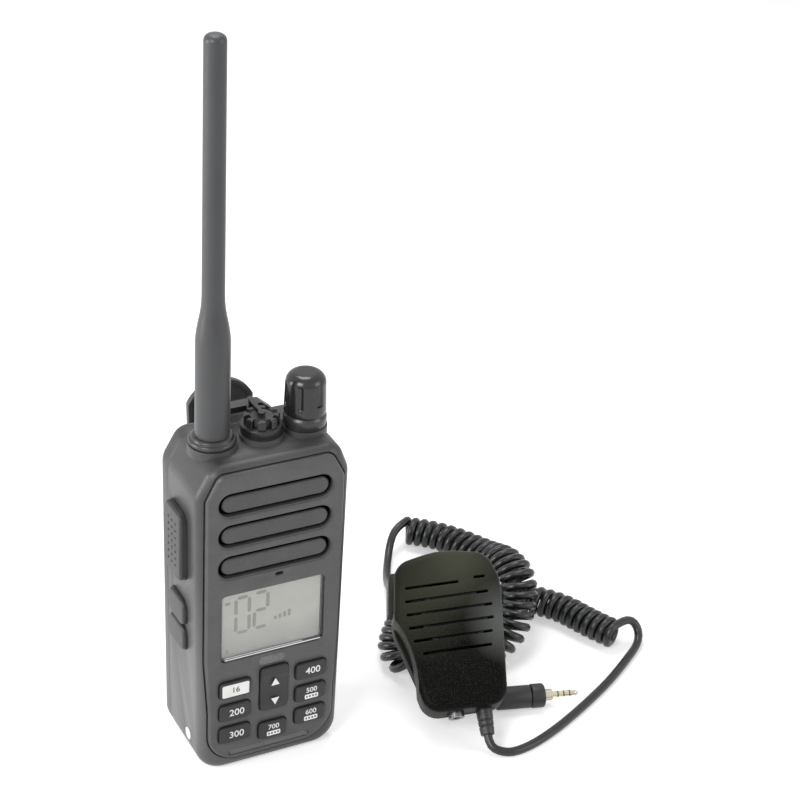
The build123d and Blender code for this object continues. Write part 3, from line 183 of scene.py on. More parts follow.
def cells(tree, coordinates, size):
    """The pebbles of a moulded leather grain, about size millimetres across."""
    texture = tree.nodes.new("ShaderNodeTexVoronoi")
    texture.feature = "SMOOTH_F1"
    texture.inputs["Scale"].default_value = 1.0 / (size * MM)
    texture.inputs["Smoothness"].default_value = 0.35
    tree.links.new(coordinates, texture.inputs["Vector"])
    return texture.outputs["Distance"]


def spread(tree, value, low, high, start=0.3, end=0.7):
    """A texture's value spread between low and high."""
    ranged = tree.nodes.new("ShaderNodeMapRange")
    ranged.inputs["From Min"].default_value = start
    ranged.inputs["From Max"].default_value = end
    ranged.inputs["To Min"].default_value = low
    ranged.inputs["To Max"].default_value = high
    tree.links.new(value, ranged.inputs["Value"])
    return ranged.outputs[0]


def two_tones(tree, value, dark, light):
    """A colour between dark and light, by a value from 0 to 1."""
    mix = tree.nodes.new("ShaderNodeMix")
    mix.data_type = "RGBA"
    mix.inputs["A"].default_value = (*dark, 1)
    mix.inputs["B"].default_value = (*light, 1)
    tree.links.new(value, mix.inputs["Factor"])
    return mix.outputs["Result"]


def over(tree, tone, colour, amount):
    """A tone with a colour laid over it, as much as a value from 0 to 1 says."""
    mix = tree.nodes.new("ShaderNodeMix")
    mix.data_type = "RGBA"
    mix.inputs["B"].default_value = (*colour, 1)
    tree.links.new(amount, mix.inputs["Factor"])
    tree.links.new(tone, mix.inputs["A"])
    return mix.outputs["Result"]


def nearness(tree, coordinates, place, reach):
    """One near a place and nothing beyond its reach, both in mm."""
    away = tree.nodes.new("ShaderNodeVectorMath")
    away.operation = "DISTANCE"
    away.inputs[1].default_value = Vector(place) * MM
    tree.links.new(coordinates, away.inputs[0])
    return spread(tree, away.outputs["Value"], 1.0, 0.0, 0.15 * reach * MM, reach * MM)


def finish(name, colour, roughness, grain=0.3, depth=0.02, pebbles=0.0, variation=0.12, patch=9.0,
           specular=0.5, metal=0.0, painted_glints=0.0, brushed=(1, 1, 1), sheen=0.0, swing=0.08, glint_gain=2.6,
           painted_light_spots=()):
    """A moulded, rubbed or metal surface: its tone drifts over patches, and a fine grain breaks the shine.
    Grain, pebbles, patch and depth are in mm. Lighter grains are painted glints, standing in for the grain's
    sparkle. Each spot of painted light is a place in mm, its reach and a colour: there the tone is painted
    lighter or darker."""
    material = bpy.data.materials.new(name)
    material.use_nodes = True
    tree = material.node_tree
    shader = tree.nodes["Principled BSDF"]
    shader.inputs["Metallic"].default_value = metal
    shader.inputs["Specular IOR Level"].default_value = specular
    if sheen:
        shader.inputs["Sheen Weight"].default_value = sheen
        shader.inputs["Sheen Roughness"].default_value = 0.4
    coordinates = tree.nodes.new("ShaderNodeTexCoord").outputs["Object"]
    drift = noise(tree, coordinates, patch, 3.0)
    fine = noise(tree, coordinates, grain, 2.0, brushed)
    dark = [c * (1 - variation) for c in colour]
    light = [min(1.0, c * (1 + variation)) for c in colour]
    tone = two_tones(tree, spread(tree, drift, 0.0, 1.0), dark, light)
    # painted light and shade: near each given place the tone is painted lighter or darker
    for place, reach, painted_tone in painted_light_spots:
        tone = over(tree, tone, painted_tone, nearness(tree, coordinates, place, reach))
    # painted glints: lighter grains scattered over the tone, standing in for the sparkle of the grain
    if painted_glints:
        glint_colour = [min(1.0, c * glint_gain + 0.02) for c in colour]
        tone = over(tree, tone, glint_colour, spread(tree, fine, 0.0, painted_glints, 0.58, 0.72))
    tree.links.new(tone, shader.inputs["Base Color"])
    tree.links.new(spread(tree, fine, roughness - swing, roughness + swing), shader.inputs["Roughness"])
    bump = tree.nodes.new("ShaderNodeBump")
    bump.inputs["Distance"].default_value = depth * MM
    bump.inputs["Strength"].default_value = 1.0
    height = fine
    if pebbles:
        stones = cells(tree, coordinates, pebbles)
        both = tree.nodes.new("ShaderNodeMath")
        both.operation = "MULTIPLY_ADD"
        both.inputs[1].default_value = -0.8
        tree.links.new(stones, both.inputs[0])
        tree.links.new(fine, both.inputs[2])
        height = both.outputs[0]
    tree.links.new(height, bump.inputs["Height"])
    tree.links.new(bump.outputs[0], shader.inputs["Normal"])
    finishes[name] = material


def clear_window(name):
    """The hard-coated window: clear, with faint wiping marks in its gloss."""
    material = bpy.data.materials.new(name)
    material.use_nodes = True
    tree = material.node_tree
    shader = tree.nodes["Principled BSDF"]
    shader.inputs["Transmission Weight"].default_value = 1.0
    shader.inputs["IOR"].default_value = 1.49
    coordinates = tree.nodes.new("ShaderNodeTexCoord").outputs["Object"]
    smear = noise(tree, coordinates, 5.0, 4.0, (1, 1, 3))
    tree.links.new(two_tones(tree, spread(tree, smear, 0.0, 1.0), (0.93, 0.94, 0.93), (0.97, 0.98, 0.97)),
                   shader.inputs["Base Color"])
    tree.links.new(spread(tree, smear, 0.01, 0.06), shader.inputs["Roughness"])
    finishes[name] = material


def mic_place(x, y, z):
    """A place on the microphone, in mm from the radio's base."""
    return MIC_POSE @ (Vector((x, y, z)) * MM) / MM


def mix_finishes():
    """Every finish of the radio, its microphone and its cord, by name."""
    # places of painted light on the microphone: the upper left and the top painted lighter as if lit, the
    # right edge as a painted highlight
    mic_lit_top = mic_place(6.0, 66.0, 24.0)
    mic_lit_left = mic_place(-16.0, 50.0, 24.0)
    mic_highlight_right = mic_place(24.0, 34.0, 22.0)
    # painted light: the case's left wall and its top are painted lighter, as where the lamps fall on them
    finish("case plastic", (0.034, 0.034, 0.035), 0.42, grain=0.34, depth=0.05, painted_glints=0.6,
           painted_light_spots=[((-33.0, 0.0, 30.0), 70.0, (0.105, 0.105, 0.106)),
                 ((0.0, -6.0, 142.0), 22.0, (0.06, 0.06, 0.061))])
    finish("panel plastic", (0.062, 0.062, 0.063), 0.4, grain=0.3, depth=0.03, painted_glints=0.4)
    finish("grille bar plastic", (0.045, 0.045, 0.046), 0.38, grain=0.3, depth=0.035, painted_glints=0.5)
    # near-black painted shade for the grille's deep slots
    finish("slot shadow plastic", (0.0015, 0.0015, 0.0015), 0.8, grain=0.3, depth=0.01, specular=0.04)
    # the ribs are lighter than the panel: partly painted highlight, for their edges catching the light, and
    # partly the band's own lighter tone
    finish("knurled plastic", (0.16, 0.16, 0.16), 0.4, grain=0.3, depth=0.03, painted_glints=0.6)
    finish("key rubber", (0.018, 0.018, 0.019), 0.46, grain=0.24, depth=0.012, sheen=0.08, specular=0.4)
    finish("side key rubber", (0.022, 0.022, 0.023), 0.5, grain=0.25, depth=0.015, sheen=0.15)
    finish("antenna rubber", (0.042, 0.043, 0.045), 0.42, grain=0.35, depth=0.012, variation=0.08,
           patch=18.0, sheen=0.1)
    finish("cap rubber", (0.012, 0.012, 0.013), 0.36, grain=0.3, depth=0.012)
    finish("knob plastic", (0.014, 0.014, 0.015), 0.2, grain=0.3, depth=0.006, swing=0.04)
    finish("ring plastic", (0.03, 0.03, 0.031), 0.28, grain=0.3, depth=0.008)
    # the microphone's face carries painted light and a painted highlight, and bright painted glints in its
    # grain
    finish("microphone plastic", (0.0012, 0.0013, 0.0009), 0.42, grain=0.34, depth=0.06, pebbles=0.6,
           variation=0.25, specular=0.06, painted_glints=0.85, glint_gain=26.0,
           painted_light_spots=[(mic_lit_left, 30.0, (0.03, 0.031, 0.02)), (mic_lit_top, 27.0, (0.055, 0.056, 0.04)),
                 (mic_highlight_right, 20.0, (0.11, 0.115, 0.108))])
    finish("microphone bar rubber", (0.014, 0.0148, 0.01), 0.46, grain=0.3, depth=0.02, specular=0.4)
    finish("cord jacket", (0.01, 0.0108, 0.0112), 0.34, grain=0.4, depth=0.01, variation=0.18, patch=6.0,
           specular=0.5)
    finish("plug rubber", (0.013, 0.0142, 0.0135), 0.42, grain=0.3, depth=0.015)
    finish("pale gold", (0.62, 0.55, 0.4), 0.24, grain=0.4, depth=0.004, metal=1.0, variation=0.06,
           swing=0.06)
    finish("nickel", (0.56, 0.56, 0.55), 0.26, grain=0.25, depth=0.004, metal=1.0, variation=0.06,
           brushed=(1, 1, 8), swing=0.07)
    finish("dark nickel", (0.16, 0.16, 0.16), 0.3, grain=0.25, depth=0.006, metal=1.0, variation=0.1)
    finish("steel", (0.5, 0.5, 0.5), 0.3, grain=0.3, depth=0.004, metal=1.0, brushed=(8, 1, 1))
    finish("cast metal", (0.42, 0.42, 0.42), 0.5, grain=0.5, depth=0.03, metal=1.0)
    finish("insulator", (0.01, 0.01, 0.01), 0.35, grain=0.3, depth=0.005)
    finish("circuit board", (0.015, 0.09, 0.035), 0.35, grain=1.5, depth=0.02, variation=0.3, patch=3.0)
    finish("cell sleeve", (0.05, 0.09, 0.22), 0.35, grain=0.5, depth=0.01)
    finish("acoustic cloth", (0.004, 0.004, 0.004), 0.9, grain=0.25, depth=0.06, specular=0.2)
    finish("cone paper", (0.01, 0.01, 0.01), 0.7, grain=0.5, depth=0.04)
    # painted shade: the display is painted darker along its lower part
    finish("display glass", (0.5, 0.5, 0.46), 0.35, grain=0.6, depth=0.002, variation=0.03, patch=25.0,
           painted_light_spots=[((-22.0, -18.0, 50.0), 22.0, (0.3, 0.3, 0.3)),
                 ((2.0, -18.0, 47.0), 22.0, (0.27, 0.27, 0.27)),
                 ((22.0, -18.0, 56.0), 14.0, (0.32, 0.32, 0.31))])
    finish("display segment", (0.27, 0.255, 0.225), 0.4, grain=0.5, depth=0.001, variation=0.05)
    finish("legend ink", (0.82, 0.82, 0.8), 0.55, grain=0.2, depth=0.003, variation=0.05)
    finish("dark ink", (0.03, 0.03, 0.03), 0.55, grain=0.2, depth=0.003)
    finish("light pipe", (0.12, 0.12, 0.12), 0.3, grain=0.5, depth=0.003)
    # a painted highlight for the window's lower edge
    finish("painted lens edge highlight", (0.85, 0.85, 0.85), 0.12, grain=0.5, depth=0.002, variation=0.04)
    finish("white contact", (0.75, 0.75, 0.73), 0.3, grain=0.3, depth=0.004)
    clear_window("clear window")


# ------------------------------------------------------------------ mesh helpers
SHARP = 32.0           # edges sharper than this many degrees stay edges


def settled(piece):
    """The object's evaluated shape as a plain mesh, with its modifiers gone."""
    bpy.context.view_layer.update()
    graph = bpy.context.evaluated_depsgraph_get()
    mesh = bpy.data.meshes.new_from_object(piece.evaluated_get(graph), depsgraph=graph)
    materials = [slot.material for slot in piece.material_slots]
    piece.modifiers.clear()
    if piece.type == "MESH":
        piece.data = mesh
        settled_piece = piece
    else:
        settled_piece = object_from(piece.name + "_made", mesh)
        bpy.data.objects.remove(piece)
    if not mesh.materials:
        for material in materials:
            mesh.materials.append(material)
    return settled_piece


def smoothed(mesh, sharp=SHARP):
    """Rounds the look of a mesh, except at edges sharper than an angle."""
    mesh.shade_smooth()
    mesh.set_sharp_from_angle(angle=radians(sharp))


def placed(piece, body):
    """Sets what a piece rides on."""
    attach(piece, body)


def dress(node, finish_name):
    """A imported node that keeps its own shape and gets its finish."""
    piece = nodes[node]
    piece.data.materials.clear()
    piece.data.materials.append(finishes[finish_name])


def softened(node, finish_name, width, body):
    """A node's shape again, with its sharp edges broken by a small round."""
    mesh = nodes[node].data.copy()
    bm = bmesh.new()
    bm.from_mesh(mesh)
    bmesh.ops.remove_doubles(bm, verts=bm.verts, dist=2e-6)
    bmesh.ops.dissolve_limit(bm, angle_limit=radians(0.3), verts=bm.verts, edges=bm.edges,
                             use_dissolve_boundaries=False)
    bm.to_mesh(mesh)
    bm.free()
    mesh.materials.clear()
    mesh.materials.append(finishes[finish_name])
    piece = object_from(node + "_shell", mesh)
    bevel = piece.modifiers.new("round", "BEVEL")
    bevel.width = width * MM
    bevel.segments = 2
    bevel.limit_method = "ANGLE"
    bevel.angle_limit = radians(SHARP)
    piece = settled(piece)
    smoothed(piece.data, 40.0)
    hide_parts(node)
    placed(piece, body)


def prism(outline, y_near, y_far, at=(0, 0)):
    """A flat piece whose outline is drawn in X and Z, from y_near to y_far, in mm."""
    bm = bmesh.new()
    near = [bm.verts.new(Vector((at[0] + x, y_near, at[1] + z)) * MM) for x, z in outline]
    far = [bm.verts.new(Vector((at[0] + x, y_far, at[1] + z)) * MM) for x, z in outline]
    bm.faces.new(near)
    bm.faces.new(far[::-1])
    count = len(outline)
    for i in range(count):
        j = (i + 1) % count
        bm.faces.new((near[j], near[i], far[i], far[j]))
    bmesh.ops.recalc_face_normals(bm, faces=bm.faces)
    return bm


def joined(name, parts, finish_name):
    """Several bmeshes as one piece."""
    mesh = bpy.data.meshes.new(name)
    whole = bmesh.new()
    for part in parts:
        scrap = bpy.data.meshes.new("scrap")
        part.to_mesh(scrap)
        part.free()
        whole.from_mesh(scrap)
        bpy.data.meshes.remove(scrap)
    whole.to_mesh(mesh)
    whole.free()
    mesh.materials.append(finishes[finish_name])
    return object_from(name, mesh)


def rounded_card(w, h, r, steps=5):
    """The outline of a rounded rectangle about its middle."""
    points = []
    for cx, cz, start in ((w / 2 - r, h / 2 - r, 0), (-w / 2 + r, h / 2 - r, 90),
                          (-w / 2 + r, -h / 2 + r, 180), (w / 2 - r, -h / 2 + r, 270)):
        for i in range(steps + 1):
            a = radians(start + 90 * i / steps)
            points.append((cx + r * cos(a), cz + r * sin(a)))
    return points


def turned_piece(name, profile, finish_name, place, steps=64, sharp=30.0):
    """A piece turned on a lathe: profile is (radius, height) in mm, place its frame."""
    bm = bmesh.new()
    rings = []
    for radius, height in profile:
        if radius < 1e-6:
            rings.append([bm.verts.new((0, 0, height * MM))])
        else:
            rings.append([bm.verts.new((radius * MM * cos(2 * pi * i / steps),
                                        radius * MM * sin(2 * pi * i / steps), height * MM))
                          for i in range(steps)])
    for low, high in zip(rings, rings[1:]):
        for i in range(steps):
            j = (i + 1) % steps
            if len(low) == 1:
                bm.faces.new((low[0], high[j], high[i]))
            elif len(high) == 1:
                bm.faces.new((low[i], low[j], high[0]))
            else:
                bm.faces.new((low[i], low[j], high[j], high[i]))
    bmesh.ops.recalc_face_normals(bm, faces=bm.faces)
    mesh = bpy.data.meshes.new(name)
    bm.to_mesh(mesh)
    bm.free()
    mesh.transform(place)
    mesh.materials.append(finishes[finish_name])
    smoothed(mesh, sharp)
    return object_from(name, mesh)


# ------------------------------------------------------------------ repeats by geometry nodes
def new_tree(name, sizes):
    """A geometry node tree with named sizes as its inputs."""
    tree = bpy.data.node_groups.new(name, "GeometryNodeTree")
    tree.interface.new_socket("Geometry", in_out="OUTPUT", socket_type="NodeSocketGeometry")
    for key, value in sizes.items():
        kind = "NodeSocketInt" if isinstance(value, int) else "NodeSocketFloat"
        tree.interface.new_socket(key, in_out="INPUT", socket_type=kind)
    tree.interface.new_socket("Finish", in_out="INPUT", socket_type="NodeSocketMaterial")
    return tree, tree.nodes.new("NodeGroupInput"), tree.nodes.new("NodeGroupOutput")


def wired(tree, *ends):
    """Links sockets: each row is a node and its output, then a node and its input."""
    for source, out, target, into in ends:
        tree.links.new(source.outputs[out], target.inputs[into])


def end_tree(tree, start, end, copies, smooth=True):
    """Every tree ends in real geometry with its material."""
    real = tree.nodes.new("GeometryNodeRealizeInstances")
    paint = tree.nodes.new("GeometryNodeSetMaterial")
    shade = tree.nodes.new("GeometryNodeSetShadeSmooth")
    shade.inputs["Shade Smooth"].default_value = smooth
    wired(tree, (copies, 0, real, 0), (real, 0, shade, 0), (shade, 0, paint, 0),
          (start, "Finish", paint, "Material"), (paint, 0, end, 0))


def grown(tree, name, sizes, finish_name, place):
    """Runs a tree once with its sizes and returns the plain piece in its place."""
    piece = object_from(name, bpy.data.meshes.new(name))
    modifier = piece.modifiers.new("grow", "NODES")
    modifier.node_group = tree
    for item in tree.interface.items_tree:
        if item.in_out == "INPUT" and item.name in sizes:
            modifier[item.identifier] = sizes[item.name]
        elif item.in_out == "INPUT" and item.name == "Finish":
            modifier[item.identifier] = finishes[finish_name]
    piece = settled(piece)
    piece.data.transform(place)
    return piece


def field_tree():
    """Small domes in rows and columns on the XY plane."""
    sizes = {"Columns": 3, "Rows": 6, "Across": 0.01, "Up": 0.01, "Radius": 0.0005, "Height": 0.0003}
    tree, start, end = new_tree("field of domes", sizes)
    grid = tree.nodes.new("GeometryNodeMeshGrid")
    dome = tree.nodes.new("GeometryNodeMeshIcoSphere")
    dome.inputs["Subdivisions"].default_value = 2
    squash = tree.nodes.new("ShaderNodeCombineXYZ")
    ratio = tree.nodes.new("ShaderNodeMath")
    ratio.operation = "DIVIDE"
    place = tree.nodes.new("GeometryNodeInstanceOnPoints")
    squash.inputs["X"].default_value = 1.0
    squash.inputs["Y"].default_value = 1.0
    wired(tree, (start, "Across", grid, "Size X"), (start, "Up", grid, "Size Y"),
          (start, "Columns", grid, "Vertices X"), (start, "Rows", grid, "Vertices Y"),
          (start, "Radius", dome, "Radius"), (start, "Height", ratio, 0), (start, "Radius", ratio, 1),
          (ratio, 0, squash, "Z"), (grid, "Mesh", place, "Points"), (dome, "Mesh", place, "Instance"),
          (squash, 0, place, "Scale"))
    end_tree(tree, start, end, place)
    return tree


def row_tree():
    """Small bars side by side along X, each leaning by the same angle."""
    sizes = {"Count": 20, "Length": 0.03, "Thick": 0.0005, "Tall": 0.002, "Deep": 0.0003, "Lean": 0.0}
    tree, start, end = new_tree("row of ribs", sizes)
    line = tree.nodes.new("GeometryNodeMeshLine")
    line.mode = "END_POINTS"
    for share, socket in ((-0.5, "Start Location"), (0.5, "Offset")):
        scaled = tree.nodes.new("ShaderNodeMath")
        scaled.operation = "MULTIPLY"
        scaled.inputs[1].default_value = share
        point = tree.nodes.new("ShaderNodeCombineXYZ")
        wired(tree, (start, "Length", scaled, 0), (scaled, 0, point, "X"), (point, 0, line, socket))
    rib = tree.nodes.new("GeometryNodeMeshCube")
    size = tree.nodes.new("ShaderNodeCombineXYZ")
    turn = tree.nodes.new("ShaderNodeCombineXYZ")
    place = tree.nodes.new("GeometryNodeInstanceOnPoints")
    wired(tree, (start, "Count", line, "Count"), (start, "Thick", size, "X"), (start, "Tall", size, "Y"),
          (start, "Deep", size, "Z"), (size, 0, rib, "Size"), (start, "Lean", turn, "Z"),
          (line, 0, place, "Points"), (rib, "Mesh", place, "Instance"), (turn, 0, place, "Rotation"))
    end_tree(tree, start, end, place, smooth=False)
    return tree


def ring_tree():
    """Teeth round a circle about Z, each a small bar along Z."""
    sizes = {"Count": 24, "Radius": 0.004, "Thick": 0.0005, "Deep": 0.0004, "Tall": 0.002}
    tree, start, end = new_tree("ring of teeth", sizes)
    ring = tree.nodes.new("GeometryNodeMeshCircle")
    tooth = tree.nodes.new("GeometryNodeMeshCube")
    size = tree.nodes.new("ShaderNodeCombineXYZ")
    where = tree.nodes.new("GeometryNodeInputPosition")
    turn = tree.nodes.new("FunctionNodeAlignRotationToVector")
    turn.axis = "X"
    turn.pivot_axis = "Z"
    place = tree.nodes.new("GeometryNodeInstanceOnPoints")
    wired(tree, (start, "Count", ring, "Vertices"), (start, "Radius", ring, "Radius"),
          (start, "Deep", size, "X"), (start, "Thick", size, "Y"), (start, "Tall", size, "Z"),
          (size, 0, tooth, "Size"), (where, 0, turn, "Vector"), (ring, 0, place, "Points"),
          (tooth, "Mesh", place, "Instance"), (turn, 0, place, "Rotation"))
    end_tree(tree, start, end, place, smooth=False)
    return tree


# ------------------------------------------------------------------ the cord
# the points of its route, in mm in the frame of FLOOR_POSE: out of the boot, the curly part, and to the plug
LEAD_POINTS = [(10.8, -19.4, 2.6), (16.4, -20.3, 1.95), (26.5, -16.6, 1.95), (38.3, -9.2, 1.95),
               (50.0, -0.3, 1.95), (61.5, 9.2, 1.95), (73.5, 19.8, 1.95), (86.0, 33.0, 1.95),
               (94.5, 42.5, 2.2), (96.5, 48.5, 6.0), (92.5, 50.5, 11.0)]
COIL_POINTS = [(85.0, 43.2, 7.1), (76.5, 53.0, 7.1), (66.0, 70.5, 7.1), (48.0, 82.0, 7.1),
               (22.0, 86.5, 7.1), (-2.0, 79.5, 7.1), (-11.5, 64.5, 7.1), (-16.8, 50.5, 7.1),
               (-11.2, 39.0, 7.1), (5.0, 39.0, 7.1), (22.5, 43.0, 7.1), (36.5, 50.0, 10.0),
               (44.5, 63.0, 18.3), (48.0, 79.0, 22.0), (47.5, 97.0, 17.2), (44.0, 113.0, 9.5),
               (35.0, 129.0, 7.1), (23.0, 140.0, 7.1), (11.5, 144.5, 7.1)]
TAIL_POINTS = [(8.6, 141.4, 11.6), (5.2, 138.9, 9.4), (2.6, 134.6, 5.6), (0.4, 128.6, 2.6),
               (-2.2, 120.5, 1.95), (-5.0, 109.5, 3.0), (-7.2, 96.0, 8.6), (-9.5, 83.0, 16.4),
               (-11.0, 66.0, 17.2), (-12.0, 50.0, 17.6), (-13.2, 37.5, 16.2), (-13.5, 27.5, 10.0),
               (-9.5, 19.0, 6.8)]
CORD_STEPS = 3          # pieces of the cord's mesh between two of its control points
WINDING_R = 5.1         # from the middle of a turn to the middle of its cord
TURN_PITCH = 3.86       # from turn to turn on the coil's line
TURN_POINTS = 14        # control points of a turn
WINDING_STEP = 0.12     # the turns are worked out at points this far apart on the coil's line
BEND_REACH = 20         # its bend is taken over this many steps either way
PITCH_INSIDE = 3.6      # round a bend the turns keep their pitch this far inside the coil's line
COIL_TRIM = (2.4, 1.4)  # how far from the ends of the coil's line its first and last turns begin
COIL_ENDS = (100, 90)   # degrees round from the side at which they begin
# how the turns lie: the distance along the coil in mm, how far they have toppled over, and how loose they are
TURN_LAY = [(0, 0.0, 1.0), (70, 0.0, 1.0), (95, 1.0, 0.8), (150, 1.0, 0.8), (172, 0.7, 1.0), (200, 1.0, 1.0),
            (238, 1.0, 1.0), (256, 0.55, 1.12), (280, 0.2, 1.12), (296, 0.0, 1.0), (330, 0.0, 1.0)]
FALLEN = Vector((-0.411, -0.766, 0.493))  # the toppled turns lean along this direction
LEAN_MOST = 1.2         # the most that a turn leans along the coil, for each mm of its height
CLOSING = 0.12          # the share of the pitch by which toppled turns close up at their outer ends
OPENING = 0.28          # the share by which a toppled turn is wider


def nurbs_curve(name, points, resolution, radius=0.0):
    """A smooth open spline whose control points are in metres, round where it has a radius."""
    curve = bpy.data.curves.new(name, "CURVE")
    curve.dimensions = "3D"
    spline = curve.splines.new("NURBS")
    spline.points.add(len(points) - 1)
    for control, point in zip(spline.points, points):
        control.co = (*point, 1.0)
    spline.order_u = 3
    spline.use_endpoint_u = True
    spline.resolution_u = resolution
    curve.bevel_depth = radius
    curve.bevel_resolution = 2
    curve.use_fill_caps = True
    return object_from(name, curve)


def line_of(points, resolution=24):
    """The points of a route's own smooth line."""
    route = nurbs_curve("route", points, resolution)
    bpy.context.view_layer.update()
    graph = bpy.context.evaluated_depsgraph_get()
    mesh = bpy.data.meshes.new_from_object(route.evaluated_get(graph), depsgraph=graph)
    line = [v.co.copy() for v in mesh.vertices]
    bpy.data.meshes.remove(mesh)
    bpy.data.objects.remove(route)
    return line


def evenly(line, step):
    """The same line with its points a fixed step apart."""
    out = [line[0].copy()]
    left = step
    for a, b in zip(line, line[1:]):
        run = (b - a).length
        done = 0.0
        while run - done >= left:
            done += left
            out.append(a.lerp(b, done / run))
            left = step
        left -= run - done
    return out


def lay_at(distance):
    """How the turns lie at a distance along the coil: how far they have toppled, and how loose they are."""
    for (a, *low), (b, *high) in zip(TURN_LAY, TURN_LAY[1:]):
        if distance <= b:
            part = (distance - a) / (b - a)
            return [u + (v - u) * part for u, v in zip(low, high)]
    return TURN_LAY[-1][1:]


def lay_of_turns(tangents, step):
    """For each point of the coil's line, the pitch of the turns there and how far they lean along it."""
    last = len(tangents) - 1
    pitches, leans = [], []
    for i, tangent in enumerate(tangents):
        first, second = max(i - BEND_REACH, 0), min(i + BEND_REACH, last)
        bend = tangents[first].angle(tangents[second]) / ((second - first) * step)
        rise = tangent.cross(Vector((0, 0, 1))).normalized().cross(tangent)
        share, loose = lay_at(i * step / MM)
        lean = max(-LEAN_MOST, min(LEAN_MOST, FALLEN.dot(tangent) / max(0.2, FALLEN.dot(rise)))) * share
        pitch = TURN_PITCH * MM * loose * sqrt(1 + lean ** 2) / max(0.5, 1.0 - bend * PITCH_INSIDE * MM)
        leans.append(lean - share * CLOSING * pitch / (WINDING_R * MM))
        pitches.append(pitch)
    return pitches, leans


def winding(line, step, begin, end):
    """The control points of the curly part: turns lie side by side, and fan out round a bend.
    The first point lies begin degrees round from the side, the last one about end degrees."""
    last = len(line) - 1
    tangents = [(line[min(i + 1, last)] - line[max(i - 1, 0)]).normalized() for i in range(last + 1)]
    pitches, leans = lay_of_turns(tangents, step)
    turned = sum(2 * pi * step / pitch for pitch in pitches)
    rest = radians(end - begin)
    whole = round((turned - rest) / (2 * pi)) * 2 * pi + rest
    side = tangents[0].cross(Vector((0, 0, 1))).normalized()
    phase = radians(begin)
    points = []
    due = phase
    for i in range(last + 1):
        side = (side - tangents[i] * side.dot(tangents[i])).normalized()
        up = side.cross(tangents[i])
        advance = 2 * pi * step / pitches[i] * whole / turned
        while phase + advance >= due:
            part = (due - phase) / advance
            centre = line[i] + tangents[i] * (part * step)
            # a toppled turn is as round as any, and lies as low as it can
            slant = sqrt(1 + leans[i] ** 2)
            r = WINDING_R * MM * (1 + OPENING * min(1.0, abs(leans[i])))
            centre.z -= WINDING_R * MM - r / slant
            height = (up + tangents[i] * leans[i]) / slant
            points.append(centre + side * (r * cos(due)) + height * (r * sin(due)))
            due += 2 * pi / TURN_POINTS
        phase += advance
    return points


def on_floor(points):
    """Points of the route in the scene's own frame."""
    return [FLOOR_POSE @ (Vector(p) * MM) for p in points]


def along(pose, *heights):
    """Points on a frame's own Z, in mm from its origin."""
    return [pose @ Vector((0, 0, z * MM)) for z in heights]


def make_cord():
    """The whole cord: out of the boot, along the floor, the curly part, and back under to the plug."""
    route = evenly(line_of(on_floor(COIL_POINTS)), WINDING_STEP * MM)
    first, last = (round(trim / WINDING_STEP) for trim in COIL_TRIM)
    turns = winding(route[first:-last], WINDING_STEP * MM, *COIL_ENDS)
    # inside the boot and the plug the cord runs along their axes
    out_of_boot = along(boot_pose(), 9.6, 15.1)
    into_plug = along(PLUG_POSE, -8.0, 0.6)
    points = out_of_boot + on_floor(LEAD_POINTS) + turns + on_floor(TAIL_POINTS) + into_plug
    line = line_of(points, CORD_STEPS)
    piece = nurbs_curve("cord", points, CORD_STEPS, CORD_R * MM)
    piece.data.materials.append(finishes["cord jacket"])
    piece = settled(piece)
    piece.name = "cord"
    smoothed(piece.data, 60.0)
    length = sum((b - a).length for a, b in zip(line, line[1:]))
    return piece, line, length, out_of_boot[0]


def boot_pose():
    """The boot's own frame, its axis out of the microphone's lower edge."""
    return (MIC_POSE @ Matrix.Translation(Vector((7.9, 0, 13.5)) * MM)
            @ Matrix.Rotation(radians(-2.0), 4, "Z") @ Matrix.Rotation(radians(90), 4, "X"))


set_camera()
mix_finishes()
cord, cord_line, cord_length, cord_exit = make_cord()
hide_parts("cord_lead", "cord_coil", "cord_tail")
placed(cord, "microphone")
light_room()
lay_floor()

